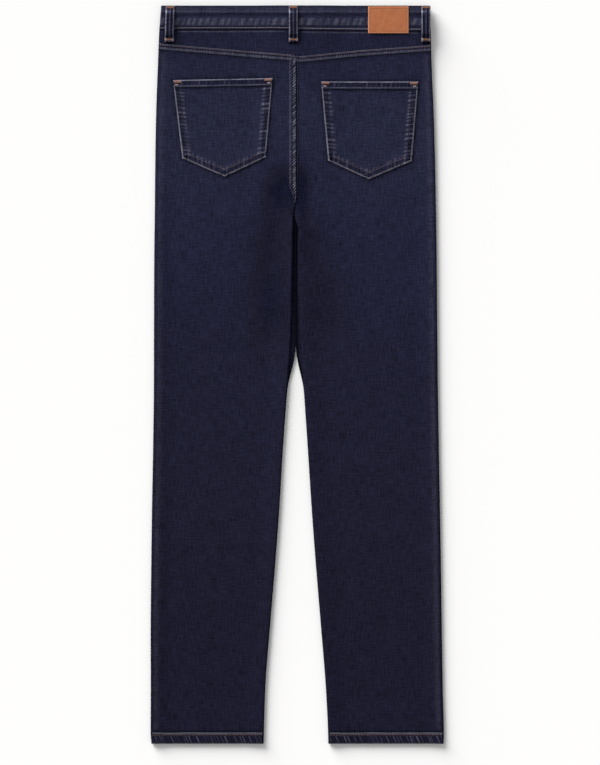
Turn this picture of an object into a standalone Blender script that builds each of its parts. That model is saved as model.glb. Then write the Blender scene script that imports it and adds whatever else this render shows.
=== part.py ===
"""Straight leg jeans lying flat on their front, built from their cut and sewn pieces.

+Z is up from the surface that they lie on, +Y runs from the hems to the waist and +X to the
wearer's right. Sizes are in millimetres, and MM turns them into metres where a point or a
modifier is made. Heights are measured up the garment from the hem edge.
"""
from bisect import bisect_right
from math import cos, pi, radians, sin

import bmesh
import bpy
from mathutils import Vector
from mathutils.bvhtree import BVHTree

MM = 0.001

# Cloth and clearances
DENIM = 1.2                 # one layer of cloth
FELL = 0.8                  # what a felled seam or a turned hem adds to a layer
GAP = 0.3                   # clearance between neighbouring pieces
BAND = 2.6                  # thickness of the doubled waistband
LOOP = 1.9                  # thickness of the folded belt loops
LEATHER = 1.3

# Lengths along the garment
LENGTH = 1062.0             # hem edge to the top of the back waistband
CROTCH = 737.0              # inseam length
SEAT_SEAM_END = 775.0       # where the seat's edges start to turn down into the crotch
HEM_DEPTH = 14.0
FELL_WIDTH = 8.5            # felled yoke seam
CENTRE_FELL_WIDTH = 13.0    # felled centre back seam
FRONT_DIP = 20.0            # how much lower the waist sits at the centre front

# Sideways places
BACK_SEAM_X = 1.2           # right edge of the centre back fell
FRONT_SEAM_X = -3.5         # centre front and crotch
FLY_LAP = 8.0               # left front panel past the centre front
FLY_UNDER = 4.0             # right front panel under the left one
FLY_BOTTOM = 880.0
FLY_LAP_RUN = 12.0          # length over which the lap opens above the fly's bottom
BAND_LAP = 14.0             # waistband lap past the centre front
BAND_UNDERLAP = 16.0        # waistband underlap, the other way

# Folded side edges
EDGE_RUN = 2.6              # how far in the rounding of a folded edge reaches
SEAM_WALL = 0.45            # upright strip beside a seam at mid height
EDGE_EASE = 32.0            # the edge stands proud of the middle over this width

# Waist stack, seen from the surface upwards
BAND_FRONT = 2.3            # outer face of the front waistband
BAND_SIDE_TOP = 7.8         # outer face of the back waistband beside the fly
BAND_CENTRE_TOP = 10.7      # the same face over the fly and the button

# Outline: one row a section, x of the four folded edges at a height
OUTLINE_COLUMNS = ("height", "left_outer", "left_inner", "right_inner", "right_outer")
OUTLINE = (
    (0.0, -209.8, -48.4, 44.8, 210.8),
    (16.0, -211.0, -48.0, 44.4, 211.0),
    (80.0, -210.8, -46.0, 41.2, 209.4),
    (163.0, -211.0, -39.6, 34.6, 208.1),
    (250.0, -210.2, -32.4, 27.4, 206.9),
    (336.0, -209.1, -25.9, 20.9, 205.5),
    (423.0, -207.5, -20.7, 15.3, 203.9),
    (509.0, -206.4, -14.4, 9.5, 202.5),
    (590.0, -206.2, -8.8, 4.6, 201.6),
    (667.0, -206.0, -7.3, 1.2, 201.0),
    (737.0, -205.4, -5.8, 0.9, 200.2),
    (765.0, -205.0, -3.65, -3.35, 199.7),
    (812.0, -204.6, -3.65, -3.35, 198.9),
    (898.0, -203.3, -3.65, -3.35, 196.7),
    (984.0, -200.2, -3.65, -3.35, 193.1),
    (1028.0, -198.4, -3.65, -3.35, 192.0),
    (1062.0, -195.6, -3.65, -3.35, 188.6),
)

# Layering: outer face of the front, then of the back at the side folds and the inseam folds,
# beside the fly and over it
LAYERS_COLUMNS = ("height", "front", "side_fold", "inner_fold", "beside", "over")
LAYERS = (
    (0.0, 0.0, 5.2, 5.2, 3.6, 3.6),
    (HEM_DEPTH, 0.0, 5.2, 5.2, 3.6, 3.6),
    (70.0, 0.0, 5.2, 5.2, 2.9, 2.9),
    (690.0, 0.0, 5.2, 5.2, 2.9, 2.9),
    (750.0, 0.0, 5.2, 6.4, 3.1, 3.9),
    (790.0, 0.0, 5.2, 6.4, 3.3, 4.4),
    (868.0, 0.0, 5.4, 6.4, 4.1, 7.0),
    (950.0, 0.8, 6.1, 6.4, 5.6, 8.3),
    (1006.0, 2.9, 7.2, 6.4, 7.2, 10.1),
    (1062.0, 2.9, 7.2, 6.4, 7.2, 10.1),
)
FLY_HALF = 30.0             # flat half width of the raised middle over the fly
FLY_SLOPE = 40.0            # width over which it falls to the sides
FLY_STACK_X = FRONT_SEAM_X + 5.0

# Seams across the back: height at the left side, left and right of the centre, right side
YOKE_LINE = ((-200.0, 1007.7), (-9.0, 991.5), (4.0, 989.0), (90.0, 998.0), (192.0, 1005.3))
BAND_LINE = ((-198.0, 1027.4), (-32.0, 1027.8), (24.0, 1026.4), (192.0, 1025.4))
WAIST_CLEARANCE = 0.6       # at the curved front waist seam, which is made of straight runs

# Front scoop pockets: mouth width along the waist and depth down the side
SCOOP_WIDTH = 98.0
SCOOP_DEPTH = 74.0
FACING_UNDER = 16.0         # how far the facing reaches behind the mouth's edge
FACING_INSET = 1.65         # from the front panel's outer face to the facing's
FACING_EDGE = 2.9           # how far in from the side fold the facing ends
FACING = 1.0                # thickness of the facing

# Back pockets: corners as (x, height), clockwise from the top left
POCKETS = {
    "left": ((-178.8, 954.8), (-35.2, 957.6), (-45.0, 843.8), (-104.6, 815.8), (-165.4, 842.3)),
    "right": ((34.3, 952.7), (174.4, 952.7), (165.2, 838.4), (102.9, 812.0), (44.4, 838.9)),
}
POCKET_HEM = 10.0

# Belt loops: centre x of each
BACK_LOOPS = {"left": -183.0, "center": -5.5, "right": 185.0}
FRONT_LOOPS = {"left": -112.0, "right": 104.0}
LOOP_WIDTH = 13.0
LOOP_LENGTH = 52.0
LOOP_CLEARANCE = 4.4        # room for a belt under the raised middle
LOOP_FOOT = 5.0
LOOP_RISE = 7.0

PATCH_X = (102.0, 160.4)
PATCH_HEIGHT = (1021.8, 1060.6)

# Button, zip and fly shield, with levels counted from the front panel's outer face
BUTTON_RADIUS = 8.5
BUTTON_THICKNESS = 2.0
SHANK_RADIUS = 2.0
BUTTONHOLE_LENGTH = 16.0
BUTTONHOLE_WIDTH = 4.8
ZIP_X = FRONT_SEAM_X - 8.0
ZIP_TAPE_WIDTH = 26.0
ZIP_CHAIN_WIDTH = 5.0
ZIP_CHAIN = 1.5
ZIP_TAPE = 0.5
ZIP_LEVEL = 3.3             # middle of tape and chain
ZIP_TOP_MARGIN = 16.0
SLIDER_LEVEL = 1.5
SLIDER_WIDTH = 7.0
SLIDER_LENGTH = 11.0
SLIDER_THICKNESS = 2.2
SLIDER_TAB_LENGTH = 20.0
SLIDER_TAB = 0.6            # thickness of the pull tab
SHIELD_LEVEL = 4.4
SHIELD_X = (FRONT_SEAM_X - 25.0, FRONT_SEAM_X + 15.0)

# Grid lines: angles round a folded edge, distances in from the edges, heights
EDGE_ANGLES = (0.0, 32.0, 62.0, 90.0)
SEAM_SPACING = 0.4          # spacing of those lines where the edge lies flat
SIDE_LINES = (12.0, 30.0)
CENTRE_LINES = (12.0, 30.0, 62.0)
LEG_ROWS = (0.0, HEM_DEPTH - 0.4, HEM_DEPTH + 0.4, 70.0, 163.0, 300.0, 440.0, 560.0, 660.0,
            715.0, 737.0, 751.0, 763.0, 780.0, 820.0)
BACK_ROWS = LEG_ROWS + (868.0, 910.0, 950.0)
FRONT_ROWS = LEG_ROWS + (FLY_BOTTOM - FLY_LAP_RUN - 2.0, FLY_BOTTOM - 2.0, FLY_BOTTOM,
                         FLY_BOTTOM + FLY_LAP_RUN)
BACK_TOP_ROWS = (FELL_WIDTH + 0.8, FELL_WIDTH, 0.0)
FRONT_TOP_ROWS = (52.0, 34.0, 14.0, 0.0)

COLOURS = {
    "denim": (0.019, 0.020, 0.045),
    "denim_band": (0.023, 0.024, 0.048),
    "leather": (0.42, 0.14, 0.05),
    "copper": (0.30, 0.16, 0.09),
    "tape": (0.02, 0.02, 0.04),
}
METALLIC = {"copper": 1.0}


def smooth(t):
    """0 to 1 with level ends, for t from 0 to 1."""
    t = min(max(t, 0.0), 1.0)
    return t * t * (3.0 - 2.0 * t)


def column(table, names, name, height):
    """A named column of a table at a height, on a smooth curve that never overshoots its rows."""
    heights = [row[0] for row in table]
    values = [row[names.index(name)] for row in table]
    if height <= heights[0]:
        return values[0]
    if height >= heights[-1]:
        return values[-1]
    steps = [b - a for a, b in zip(heights, heights[1:])]
    rates = [(b - a) / step for a, b, step in zip(values, values[1:], steps)]

    def slope(k):
        if k == 0 or k == len(rates):
            return rates[min(k, len(rates) - 1)]
        before, after = rates[k - 1], rates[k]
        return 0.0 if before * after <= 0.0 else 2.0 * before * after / (before + after)

    k = bisect_right(heights, height) - 1
    t = (height - heights[k]) / steps[k]
    rise = t * t * (3.0 - 2.0 * t)
    lean = steps[k] * (slope(k) * t * (1.0 - t) ** 2 - slope(k + 1) * t * t * (1.0 - t))
    return values[k] + (values[k + 1] - values[k]) * rise + lean


def outline(name, height):
    return column(OUTLINE, OUTLINE_COLUMNS, name, height)


def layer(name, height):
    return column(LAYERS, LAYERS_COLUMNS, name, height)


def along_line(line, x):
    """Height of a seam line, given by its corners, at x."""
    for (x0, h0), (x1, h1) in zip(line, line[1:]):
        if x <= x1 or (x1, h1) == line[-1]:
            return h0 + (h1 - h0) * (x - x0) / (x1 - x0)


def front_dip(x):
    """How much lower the waist is at x across the front."""
    reach = outline("right_outer", CROTCH) - FRONT_SEAM_X
    return FRONT_DIP * cos(0.5 * pi * min(abs(x - FRONT_SEAM_X) / reach, 1.0)) ** 2


def over_fly(x):
    """1 over the fly's stack of layers, falling to 0 beside it."""
    return 1.0 - smooth((abs(x - FLY_STACK_X) - FLY_HALF) / FLY_SLOPE)


def turned_down(height):
    """1 along the inseam, where the inner edge turns down, 0 along the seat seam."""
    return 1.0 - smooth((height - CROTCH) / (SEAT_SEAM_END - CROTCH))


def lapped(height):
    """1 along the fly's lap, 0 below it."""
    return smooth((height - FLY_BOTTOM) / FLY_LAP_RUN)


def set_back(height):
    """1 where the right front lies behind the lap; it is there before the lap starts."""
    return smooth((height - FLY_BOTTOM + FLY_LAP_RUN + 2.0) / FLY_LAP_RUN)


def outer_edge(side, height):
    return outline(side + "_outer", height)


def back_inner_edge(side, height):
    """The seat seam, which wanders to the left above the crotch, and the inseam."""
    drift = (BACK_SEAM_X - FRONT_SEAM_X) * smooth((height - 765.0) / 35.0)
    return outline(side + "_inner", height) + drift


def front_inner_edge(side, height):
    """The front seam, the fly's edges and the inseam."""
    lap = FLY_LAP if side == "left" else -FLY_UNDER
    return outline(side + "_inner", height) + lap * lapped(height)


def fell_raise(side, x, height):
    """What the felled centre seam, the yoke seam and the hem add to a back panel."""
    if height < HEM_DEPTH:
        return FELL
    if height > along_line(YOKE_LINE, x) - FELL_WIDTH - 0.4:
        return FELL
    from_seam = abs(x - back_inner_edge(side, height))
    if side == "left" and from_seam < CENTRE_FELL_WIDTH:
        return FELL * smooth((height - 765.0) / 30.0)
    return 0.0


def back_top(side, x, height):
    """Outer face of the back away from its folded edges, without fells."""
    over = over_fly(x)
    level = layer("beside", height) * (1.0 - over) + layer("over", height) * over
    at_side = 1.0 - smooth(abs(x - outer_edge(side, height)) / EDGE_EASE)
    at_inseam = 1.0 - smooth(abs(x - back_inner_edge(side, height)) / EDGE_EASE)
    level += (layer("side_fold", height) - level) * at_side
    return level + (layer("inner_fold", height) - level) * at_inseam * turned_down(height)


def front_face(side, x, height):
    """Outer face of the front away from its folded edges; the right half dips behind the lap."""
    face = layer("front", height)
    if side == "right":
        behind = 1.0 - smooth((x - FRONT_SEAM_X - FLY_LAP - 1.5) / 6.0)
        face += (DENIM + GAP) * behind * set_back(height)
    return face


def seam_level(edge, height):
    """Mid height of a folded edge, where front and back meet."""
    fold = "inner_fold" if edge == "inner" else "side_fold"
    return 0.5 * (layer("front", height) + layer(fold, height))


def folded(face, seam, angle, amount):
    """Level of a face whose edge folds to the seam: angle 0 at the seam, 90 on the face."""
    if angle is None:
        level = seam
    else:
        start = seam + (SEAM_WALL if face > seam else -SEAM_WALL)
        level = start + (face - start) * sin(radians(angle))
    return face + (level - face) * amount


def grid_lines(side, inner_lines, outer_lines):
    """Grid lines from the inner to the outer edge as (edge, angle, distance in)."""
    lines = [("inner", angle, None) for angle in (None,) + EDGE_ANGLES]
    lines += [("inner", 90.0, distance) for distance in inner_lines]
    lines += [("outer", 90.0, distance) for distance in reversed(outer_lines)]
    lines += [("outer", angle, None) for angle in reversed((None,) + EDGE_ANGLES)]
    return lines if side == "right" else lines[::-1]


def line_x(line, amount, inner, outer):
    """x of a grid line at one height."""
    edge, angle, distance = line
    if distance is None:
        order = 0 if angle is None else 1 + EDGE_ANGLES.index(angle)
        run = 0.0 if angle is None else EDGE_RUN * (1.0 - cos(radians(angle)))
        distance = run * amount + order * SEAM_SPACING * (1.0 - amount)
    if edge == "inner":
        return inner + distance * (1.0 if outer > inner else -1.0)
    return outer + distance * (1.0 if inner > outer else -1.0)


def material(name):
    made = bpy.data.materials.get(name)
    if made is None:
        made = bpy.data.materials.new(name)
        made.use_nodes = True
        shader = made.node_tree.nodes["Principled BSDF"]
        shader.inputs["Base Color"].default_value = (*COLOURS[name], 1.0)
        shader.inputs["Metallic"].default_value = METALLIC.get(name, 0.0)
        shader.inputs["Roughness"].default_value = 0.35 if name in METALLIC else 0.85
    return made


def to_world(x, height, level):
    """A point in metres; y counts from the middle of the garment's length."""
    return Vector((x, height - 0.5 * LENGTH, level)) * MM


def new_object(name, bm, colour, smooth_shaded=True):
    mesh = bpy.data.meshes.new(name)
    bm.to_mesh(mesh)
    bm.free()
    mesh.materials.append(material(colour))
    if smooth_shaded:
        mesh.shade_smooth()
        mesh.set_sharp_from_angle(angle=radians(35.0))
    obj = bpy.data.objects.new(name, mesh)
    bpy.data.collections["jeans"].objects.link(obj)
    return obj


def add_wall(obj, thickness, inwards):
    """Solidify to the inside of an outer face: down for a back piece, up for a front piece."""
    wall = obj.modifiers.new("wall", "SOLIDIFY")
    wall.thickness = thickness * MM
    wall.offset = -1.0 if inwards == "down" else 1.0
    wall.use_even_offset = True
    wall.use_quality_normals = True
    return wall


def add_bevel(obj, width, segments=2):
    bevel = obj.modifiers.new("rounding", "BEVEL")
    bevel.width = width * MM
    bevel.segments = segments
    bevel.limit_method = "ANGLE"
    bevel.angle_limit = radians(50.0)


def sheet(name, columns, rows, place, colour, thickness, inwards, raises=None):
    """A panel as a grid moved to place(column, row), with a wall that is thicker at its fells.

    raises(column, row) is what a fell adds there; the wall is DENIM plus that.
    """
    bm = bmesh.new()
    wide, tall = len(columns), len(rows)
    bmesh.ops.create_grid(bm, x_segments=wide - 1, y_segments=tall - 1, size=0.5)
    weights = {}
    for vert in bm.verts:
        i = round((vert.co.x + 0.5) * (wide - 1))
        j = round((vert.co.y + 0.5) * (tall - 1))
        if raises is not None:
            weights[vert.index] = (DENIM + raises(columns[i], rows[j])) / (DENIM + FELL)
        vert.co = place(columns[i], rows[j])
    obj = new_object(name, bm, colour)
    wall = add_wall(obj, thickness, inwards)
    if raises is not None:
        group = obj.vertex_groups.new(name="thickness")
        for index, weight in weights.items():
            group.add([index], weight, "REPLACE")
        wall.vertex_group = group.name
    return obj


def across(start, end, count):
    return [start + (end - start) * i / (count - 1) for i in range(count)]


def row_height(row, top):
    """Rows are ("up", from the hem) or ("down", from the piece's top edge)."""
    return row[1] if row[0] == "up" else top - row[1]


def rows_of(up, down):
    return [("up", h) for h in up] + [("down", d) for d in down]


def find_height(row, top_at, x_at):
    """Height and x of a grid crossing where the top edge depends on x and x on the height."""
    x = x_at(row_height(row, top_at(0.0)))
    for _ in range(4):
        height = row_height(row, top_at(x))
        x = x_at(height)
    return height, x


def back_panel(side):
    centre_lines = CENTRE_LINES
    if side == "left":
        centre_lines = (CENTRE_FELL_WIDTH - 0.4, CENTRE_FELL_WIDTH + 0.4, 30.0, 62.0)
    lines = grid_lines(side, centre_lines, SIDE_LINES)

    def crossing(line, row):
        def x_at(height):
            amount = turned_down(height) if line[0] == "inner" else 1.0
            inner, outer = back_inner_edge(side, height), outer_edge(side, height)
            return line_x(line, amount, inner, outer)
        return find_height(row, lambda x: along_line(YOKE_LINE, x) - GAP, x_at)

    def raises(line, row):
        height, x = crossing(line, row)
        return fell_raise(side, x, height)

    def place(line, row):
        height, x = crossing(line, row)
        amount = turned_down(height) if line[0] == "inner" else 1.0
        face = back_top(side, x, height) + fell_raise(side, x, height)
        seam = seam_level(line[0], height) + 0.5 * GAP
        return to_world(x, height, folded(face, seam, line[1], amount))

    return sheet("back_" + side, lines, rows_of(BACK_ROWS, BACK_TOP_ROWS), place, "denim",
                 DENIM + FELL, "down", raises)


def yoke(side):
    """From the yoke seam to the waistband."""
    centre_lines = (12.0, 30.0, 62.0)
    if side == "left":
        centre_lines = (CENTRE_FELL_WIDTH - 0.4, CENTRE_FELL_WIDTH + 0.4, 30.0, 62.0)
    lines = grid_lines(side, centre_lines, SIDE_LINES)
    rows = (0.0, 0.5, 1.0)

    def crossing(line, part):
        x = 0.0
        for _ in range(4):
            low = along_line(YOKE_LINE, x)
            high = along_line(BAND_LINE, x) - GAP
            height = low + (high - low) * part
            inner, outer = back_inner_edge(side, height), outer_edge(side, height)
            x = line_x(line, 0.0 if line[0] == "inner" else 1.0, inner, outer)
        return height, x

    def centre_fell(x, height):
        near = abs(x - back_inner_edge("left", height)) < CENTRE_FELL_WIDTH
        return FELL if side == "left" and near else 0.0

    def raises(line, part):
        height, x = crossing(line, part)
        return centre_fell(x, height)

    def place(line, part):
        height, x = crossing(line, part)
        face = back_top(side, x, height) + centre_fell(x, height)
        seam = seam_level("outer", height) + 0.5 * GAP
        amount = 0.0 if line[0] == "inner" else 1.0
        return to_world(x, height, folded(face, seam, line[1], amount))

    return sheet("yoke_" + side, lines, rows, place, "denim", DENIM + FELL, "down", raises)


def scoop_top(side, x, depth, width):
    """Top edge of a front piece: the waist seam, and the quarter ellipse of the pocket mouth."""
    waist = along_line(BAND_LINE, x) - front_dip(x) - WAIST_CLEARANCE
    from_side = abs(x - outer_edge(side, LENGTH - SCOOP_DEPTH))
    if from_side >= width:
        return waist
    return waist - depth * (1.0 - (from_side / width) ** 2) ** 0.5


def front_panel(side):
    scoop_lines = [SCOOP_WIDTH * cos(radians(angle)) for angle in (72.0, 48.0, 26.0, 8.0, 0.0)]
    lines = grid_lines(side, CENTRE_LINES, SIDE_LINES[:1] + tuple(scoop_lines))

    def crossing(line, row):
        def x_at(height):
            amount = turned_down(height) if line[0] == "inner" else 1.0
            inner, outer = front_inner_edge(side, height), outer_edge(side, height)
            return line_x(line, amount, inner, outer)
        return find_height(row, lambda x: scoop_top(side, x, SCOOP_DEPTH, SCOOP_WIDTH), x_at)

    def raises(line, row):
        height, x = crossing(line, row)
        return FELL if height < HEM_DEPTH else 0.0

    def place(line, row):
        height, x = crossing(line, row)
        amount = turned_down(height) if line[0] == "inner" else 1.0
        seam = seam_level(line[0], height) - 0.5 * GAP
        return to_world(x, height, folded(front_face(side, x, height), seam, line[1], amount))

    return sheet("front_" + side, lines, rows_of(FRONT_ROWS, FRONT_TOP_ROWS), place, "denim",
                 DENIM + FELL, "up", raises)


def pocket_facing(side):
    """Lies one layer inside the front panel, behind the mouth, and reaches out to the side."""
    lines = (FACING_EDGE, 14.0, 40.0, 70.0, SCOOP_WIDTH + FACING_UNDER)
    inwards = 1.0 if side == "left" else -1.0

    def place(distance, part):
        x = outer_edge(side, LENGTH - SCOOP_DEPTH)
        for _ in range(4):
            high = along_line(BAND_LINE, x) - front_dip(x) - WAIST_CLEARANCE
            low = along_line(BAND_LINE, x) - SCOOP_DEPTH - FACING_UNDER
            height = low + (high - low) * part
            x = outer_edge(side, height) + distance * inwards
        return to_world(x, height, layer("front", height) + FACING_INSET)

    lines = lines if side == "left" else lines[::-1]
    return sheet("pocket_facing_" + side, lines, across(0.0, 1.0, 7), place, "denim", FACING, "up")


def waistband(name, x_range, count, low_at, high_at, face_at, inwards):
    """A doubled band between two lines, with rounded long edges."""
    def place(part, row):
        x = x_range[0](row) + (x_range[1](row) - x_range[0](row)) * part
        height = low_at(x) if row == 0 else high_at(x)
        return to_world(x, height, face_at(x))

    obj = sheet(name, across(0.0, 1.0, count), (0, 1), place, "denim_band", BAND, inwards)
    add_bevel(obj, 0.9)
    return obj


def band_side(side):
    """x of the waistband's folded side at its lower and upper edge."""
    return lambda row: outer_edge(side, LENGTH if row else LENGTH - 34.0)


def band_back_face(x):
    return BAND_SIDE_TOP + (BAND_CENTRE_TOP - BAND_SIDE_TOP) * over_fly(x)


def band_right_face(x):
    """The underlap lies one band higher than the lap, and comes down beside it."""
    behind = 1.0 - smooth((x - FRONT_SEAM_X - BAND_LAP - 2.0) / 20.0)
    return BAND_FRONT + (BAND + GAP) * behind


def front_band_low(x):
    return along_line(BAND_LINE, x) - front_dip(x)


def front_band_high(x):
    return LENGTH - front_dip(x)


def waistbands():
    waistband("waistband_back", (band_side("left"), band_side("right")), 29,
              lambda x: along_line(BAND_LINE, x), lambda x: LENGTH, band_back_face, "down")
    left = waistband("waistband_front_left",
                     (band_side("left"), lambda row: FRONT_SEAM_X + BAND_LAP), 17,
                     front_band_low, front_band_high, lambda x: BAND_FRONT, "up")
    waistband("waistband_front_right",
              (lambda row: FRONT_SEAM_X - BAND_UNDERLAP, band_side("right")), 21,
              front_band_low, front_band_high, band_right_face, "up")
    cut_buttonhole(left)


def button_place():
    """Centre of the button in mm: x and height."""
    x = FRONT_SEAM_X
    return x, 0.5 * (front_band_low(x) + front_band_high(x))


def cut_buttonhole(band):
    """A slot from the shank towards the side."""
    x, height = button_place()
    bm = bmesh.new()
    bmesh.ops.create_cube(bm, size=1.0)
    centre = to_world(x - 0.5 * BUTTONHOLE_LENGTH + 0.5 * BUTTONHOLE_WIDTH, height,
                      BAND_FRONT + 0.5 * BAND)
    size = (BUTTONHOLE_LENGTH * MM, BUTTONHOLE_WIDTH * MM, 3.0 * BAND * MM)
    bmesh.ops.scale(bm, vec=size, verts=bm.verts)
    bmesh.ops.translate(bm, vec=centre, verts=bm.verts)
    cutter = new_object("buttonhole_cutter", bm, "denim_band", smooth_shaded=False)
    bpy.data.collections["jeans"].objects.unlink(cutter)
    bpy.data.collections["cutters"].objects.link(cutter)
    cutter.hide_render = True
    cutter.display_type = "WIRE"
    cut = band.modifiers.new("buttonhole", "BOOLEAN")
    cut.operation = "DIFFERENCE"
    cut.object = cutter


def button():
    """A domed head outside the lap, with a shank through the buttonhole to the underlap."""
    x, height = button_place()
    top = BAND_FRONT + BAND
    profile = ((0.0, top), (SHANK_RADIUS, top), (SHANK_RADIUS, BUTTON_THICKNESS),
               (BUTTON_RADIUS - 0.6, BUTTON_THICKNESS), (BUTTON_RADIUS, BUTTON_THICKNESS - 0.6),
               (BUTTON_RADIUS, 0.7), (BUTTON_RADIUS - 0.9, 0.0), (0.0, 0.0))
    bm = bmesh.new()
    verts = [bm.verts.new(Vector((radius, 0.0, level)) * MM) for radius, level in profile]
    for start, end in zip(verts, verts[1:]):
        bm.edges.new((start, end))
    obj = new_object("button", bm, "copper", smooth_shaded=False)
    obj.location = to_world(x, height, 0.0)
    turn = obj.modifiers.new("turn", "SCREW")
    turn.steps = 24
    turn.render_steps = 24
    turn.use_merge_vertices = True
    turn.merge_threshold = 0.00001


def on_pieces(names):
    """Returns level_at(x, height), the highest level in mm of the named pieces there."""
    depsgraph = bpy.context.evaluated_depsgraph_get()
    trees = [BVHTree.FromObject(bpy.data.objects[name], depsgraph) for name in names]

    def level_at(x, height):
        start = to_world(x, height, 60.0)
        hits = [tree.ray_cast(start, Vector((0.0, 0.0, -1.0)))[0] for tree in trees]
        levels = [hit.z / MM for hit in hits if hit is not None]
        return max(levels) if levels else 0.0
    return level_at


def back_pocket(side):
    """Five-sided patch: straight sides, a pointed bottom and a thicker turned hem on top."""
    top_left, top_right, low_right, tip, low_left = POCKETS[side]
    level_at = on_pieces(["back_" + side])
    columns = across(0.0, 1.0, 9)
    hem = 1.0 - POCKET_HEM / (top_left[1] - tip[1])
    rows = across(0.0, hem - 0.004, 7) + [hem + 0.004, 1.0]

    def corner_mix(start, end, t):
        return [start[k] + (end[k] - start[k]) * t for k in (0, 1)]

    def place(u, v):
        if u <= 0.5:
            bottom = corner_mix(low_left, tip, u * 2.0)
        else:
            bottom = corner_mix(tip, low_right, u * 2.0 - 1.0)
        top = corner_mix(top_left, top_right, u)
        x, height = corner_mix(bottom, top, v)
        return to_world(x, height, level_at(x, height) + GAP + DENIM + raises(u, v))

    def raises(u, v):
        return FELL if v > hem else 0.0

    sheet("back_pocket_" + side, columns, rows, place, "denim", DENIM + FELL, "down", raises)


def back_loop(side):
    """A strip with both feet sewn down and its middle standing clear for a belt."""
    x0 = BACK_LOOPS[side]
    top = LENGTH - 0.5
    level_at = on_pieces(["waistband_back", "yoke_left", "yoke_right"])
    columns = (-0.5 * LOOP_WIDTH, 0.0, 0.5 * LOOP_WIDTH)
    rows = (0.0, LOOP_FOOT, LOOP_FOOT + 0.5 * LOOP_RISE, LOOP_FOOT + LOOP_RISE,
            0.5 * LOOP_LENGTH, LOOP_LENGTH - LOOP_FOOT - LOOP_RISE,
            LOOP_LENGTH - LOOP_FOOT - 0.5 * LOOP_RISE, LOOP_LENGTH - LOOP_FOOT, LOOP_LENGTH)
    band_level = band_back_face(x0)

    def place(across_loop, down):
        from_end = min(down, LOOP_LENGTH - down)
        lift = smooth((from_end - LOOP_FOOT) / LOOP_RISE)
        near = [level_at(x0 + offset, top - down + step) for offset in columns
                for step in (-1.5, 0.0, 1.5)]
        foot = max(near) + GAP
        level = foot + (band_level + LOOP_CLEARANCE - foot) * lift
        return to_world(x0 + across_loop, top - down, level)

    sheet("loop_back_" + side, columns, rows[::-1], place, "denim_band", LOOP, "up")


def front_loop(side):
    """Pressed flat under the garment."""
    x0 = FRONT_LOOPS[side]
    columns = (-0.5 * LOOP_WIDTH, 0.0, 0.5 * LOOP_WIDTH)
    rows = (0.0, 0.5, 1.0)

    def place(across_loop, part):
        high = front_band_high(x0) - 0.5
        return to_world(x0 + across_loop, high - LOOP_LENGTH * (1.0 - part), 0.0)

    sheet("loop_front_" + side, columns, rows, place, "denim_band", LOOP, "up")


def patch():
    level = BAND_SIDE_TOP + GAP
    obj = sheet("patch", PATCH_X, PATCH_HEIGHT, lambda x, height: to_world(x, height, level),
                "leather", LEATHER, "up")
    add_bevel(obj, 0.3)


def fly_top():
    """Upper end of the fly's pieces, clear of the waistband over their whole width."""
    return min(front_band_low(x) for x in across(*SHIELD_X, 5)) - GAP


def zip_fastener():
    """Tape with its chain along the middle, inside both front edges."""
    half_tape, half_chain = 0.5 * ZIP_TAPE_WIDTH, 0.5 * ZIP_CHAIN_WIDTH
    columns = (-half_tape, -half_chain - 0.2, -half_chain, half_chain, half_chain + 0.2, half_tape)
    rows = across(FLY_BOTTOM + 14.0, fly_top() - ZIP_TOP_MARGIN, 6)

    def place(offset, height):
        return to_world(ZIP_X + offset, height, layer("front", height) + ZIP_LEVEL)

    obj = sheet("zip", columns, rows, place, "tape", ZIP_CHAIN, "down")
    wall = obj.modifiers["wall"]
    wall.offset = 0.0
    group = obj.vertex_groups.new(name="thickness")
    for vert in obj.data.vertices:
        on_chain = abs(vert.co.x / MM - ZIP_X) <= half_chain + 0.1
        group.add([vert.index], 1.0 if on_chain else ZIP_TAPE / ZIP_CHAIN, "REPLACE")
    wall.vertex_group = group.name


def zip_slider():
    """Slider body above the end of the chain, with its pull tab lying down over the chain."""
    low = fly_top() - ZIP_TOP_MARGIN + GAP
    high = low + SLIDER_LENGTH
    tab_low = low - SLIDER_TAB_LENGTH
    corners = ((tab_low, 0.0), (high, 0.0), (high, SLIDER_THICKNESS), (low, SLIDER_THICKNESS),
               (low, SLIDER_TAB), (tab_low, SLIDER_TAB))
    outline_curve = bpy.data.curves.new("zip_slider", "CURVE")
    outline_curve.dimensions = "2D"
    outline_curve.fill_mode = "BOTH"
    outline_curve.extrude = 0.5 * SLIDER_WIDTH * MM
    spline = outline_curve.splines.new("POLY")
    spline.points.add(len(corners) - 1)
    spline.use_cyclic_u = True
    for point, (height, rise) in zip(spline.points, corners):
        at = to_world(0.0, height, layer("front", height) + SLIDER_LEVEL + rise)
        point.co = (at.y, at.z, 0.0, 1.0)
    outline_curve.materials.append(material("copper"))
    obj = bpy.data.objects.new("zip_slider", outline_curve)
    obj.rotation_euler = (0.5 * pi, 0.0, 0.5 * pi)
    obj.location.x = ZIP_X * MM
    bpy.data.collections["jeans"].objects.link(obj)


def fly_shield():
    rows = across(FLY_BOTTOM + 6.0, fly_top(), 6)

    def place(x, height):
        return to_world(x, height, layer("front", height) + SHIELD_LEVEL)

    sheet("fly_shield", across(*SHIELD_X, 3), rows, place, "denim", DENIM, "up")


def main():
    for obj in list(bpy.data.objects):
        bpy.data.objects.remove(obj, do_unlink=True)
    for name in ("jeans", "cutters"):
        collection = bpy.data.collections.new(name)
        bpy.context.scene.collection.children.link(collection)
    for side in ("left", "right"):
        back_panel(side)
        yoke(side)
        front_panel(side)
        pocket_facing(side)
    waistbands()
    button()
    for side in POCKETS:
        back_pocket(side)
    for side in BACK_LOOPS:
        back_loop(side)
    for side in FRONT_LOOPS:
        front_loop(side)
    patch()
    zip_fastener()
    zip_slider()
    fly_shield()


main()
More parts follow.
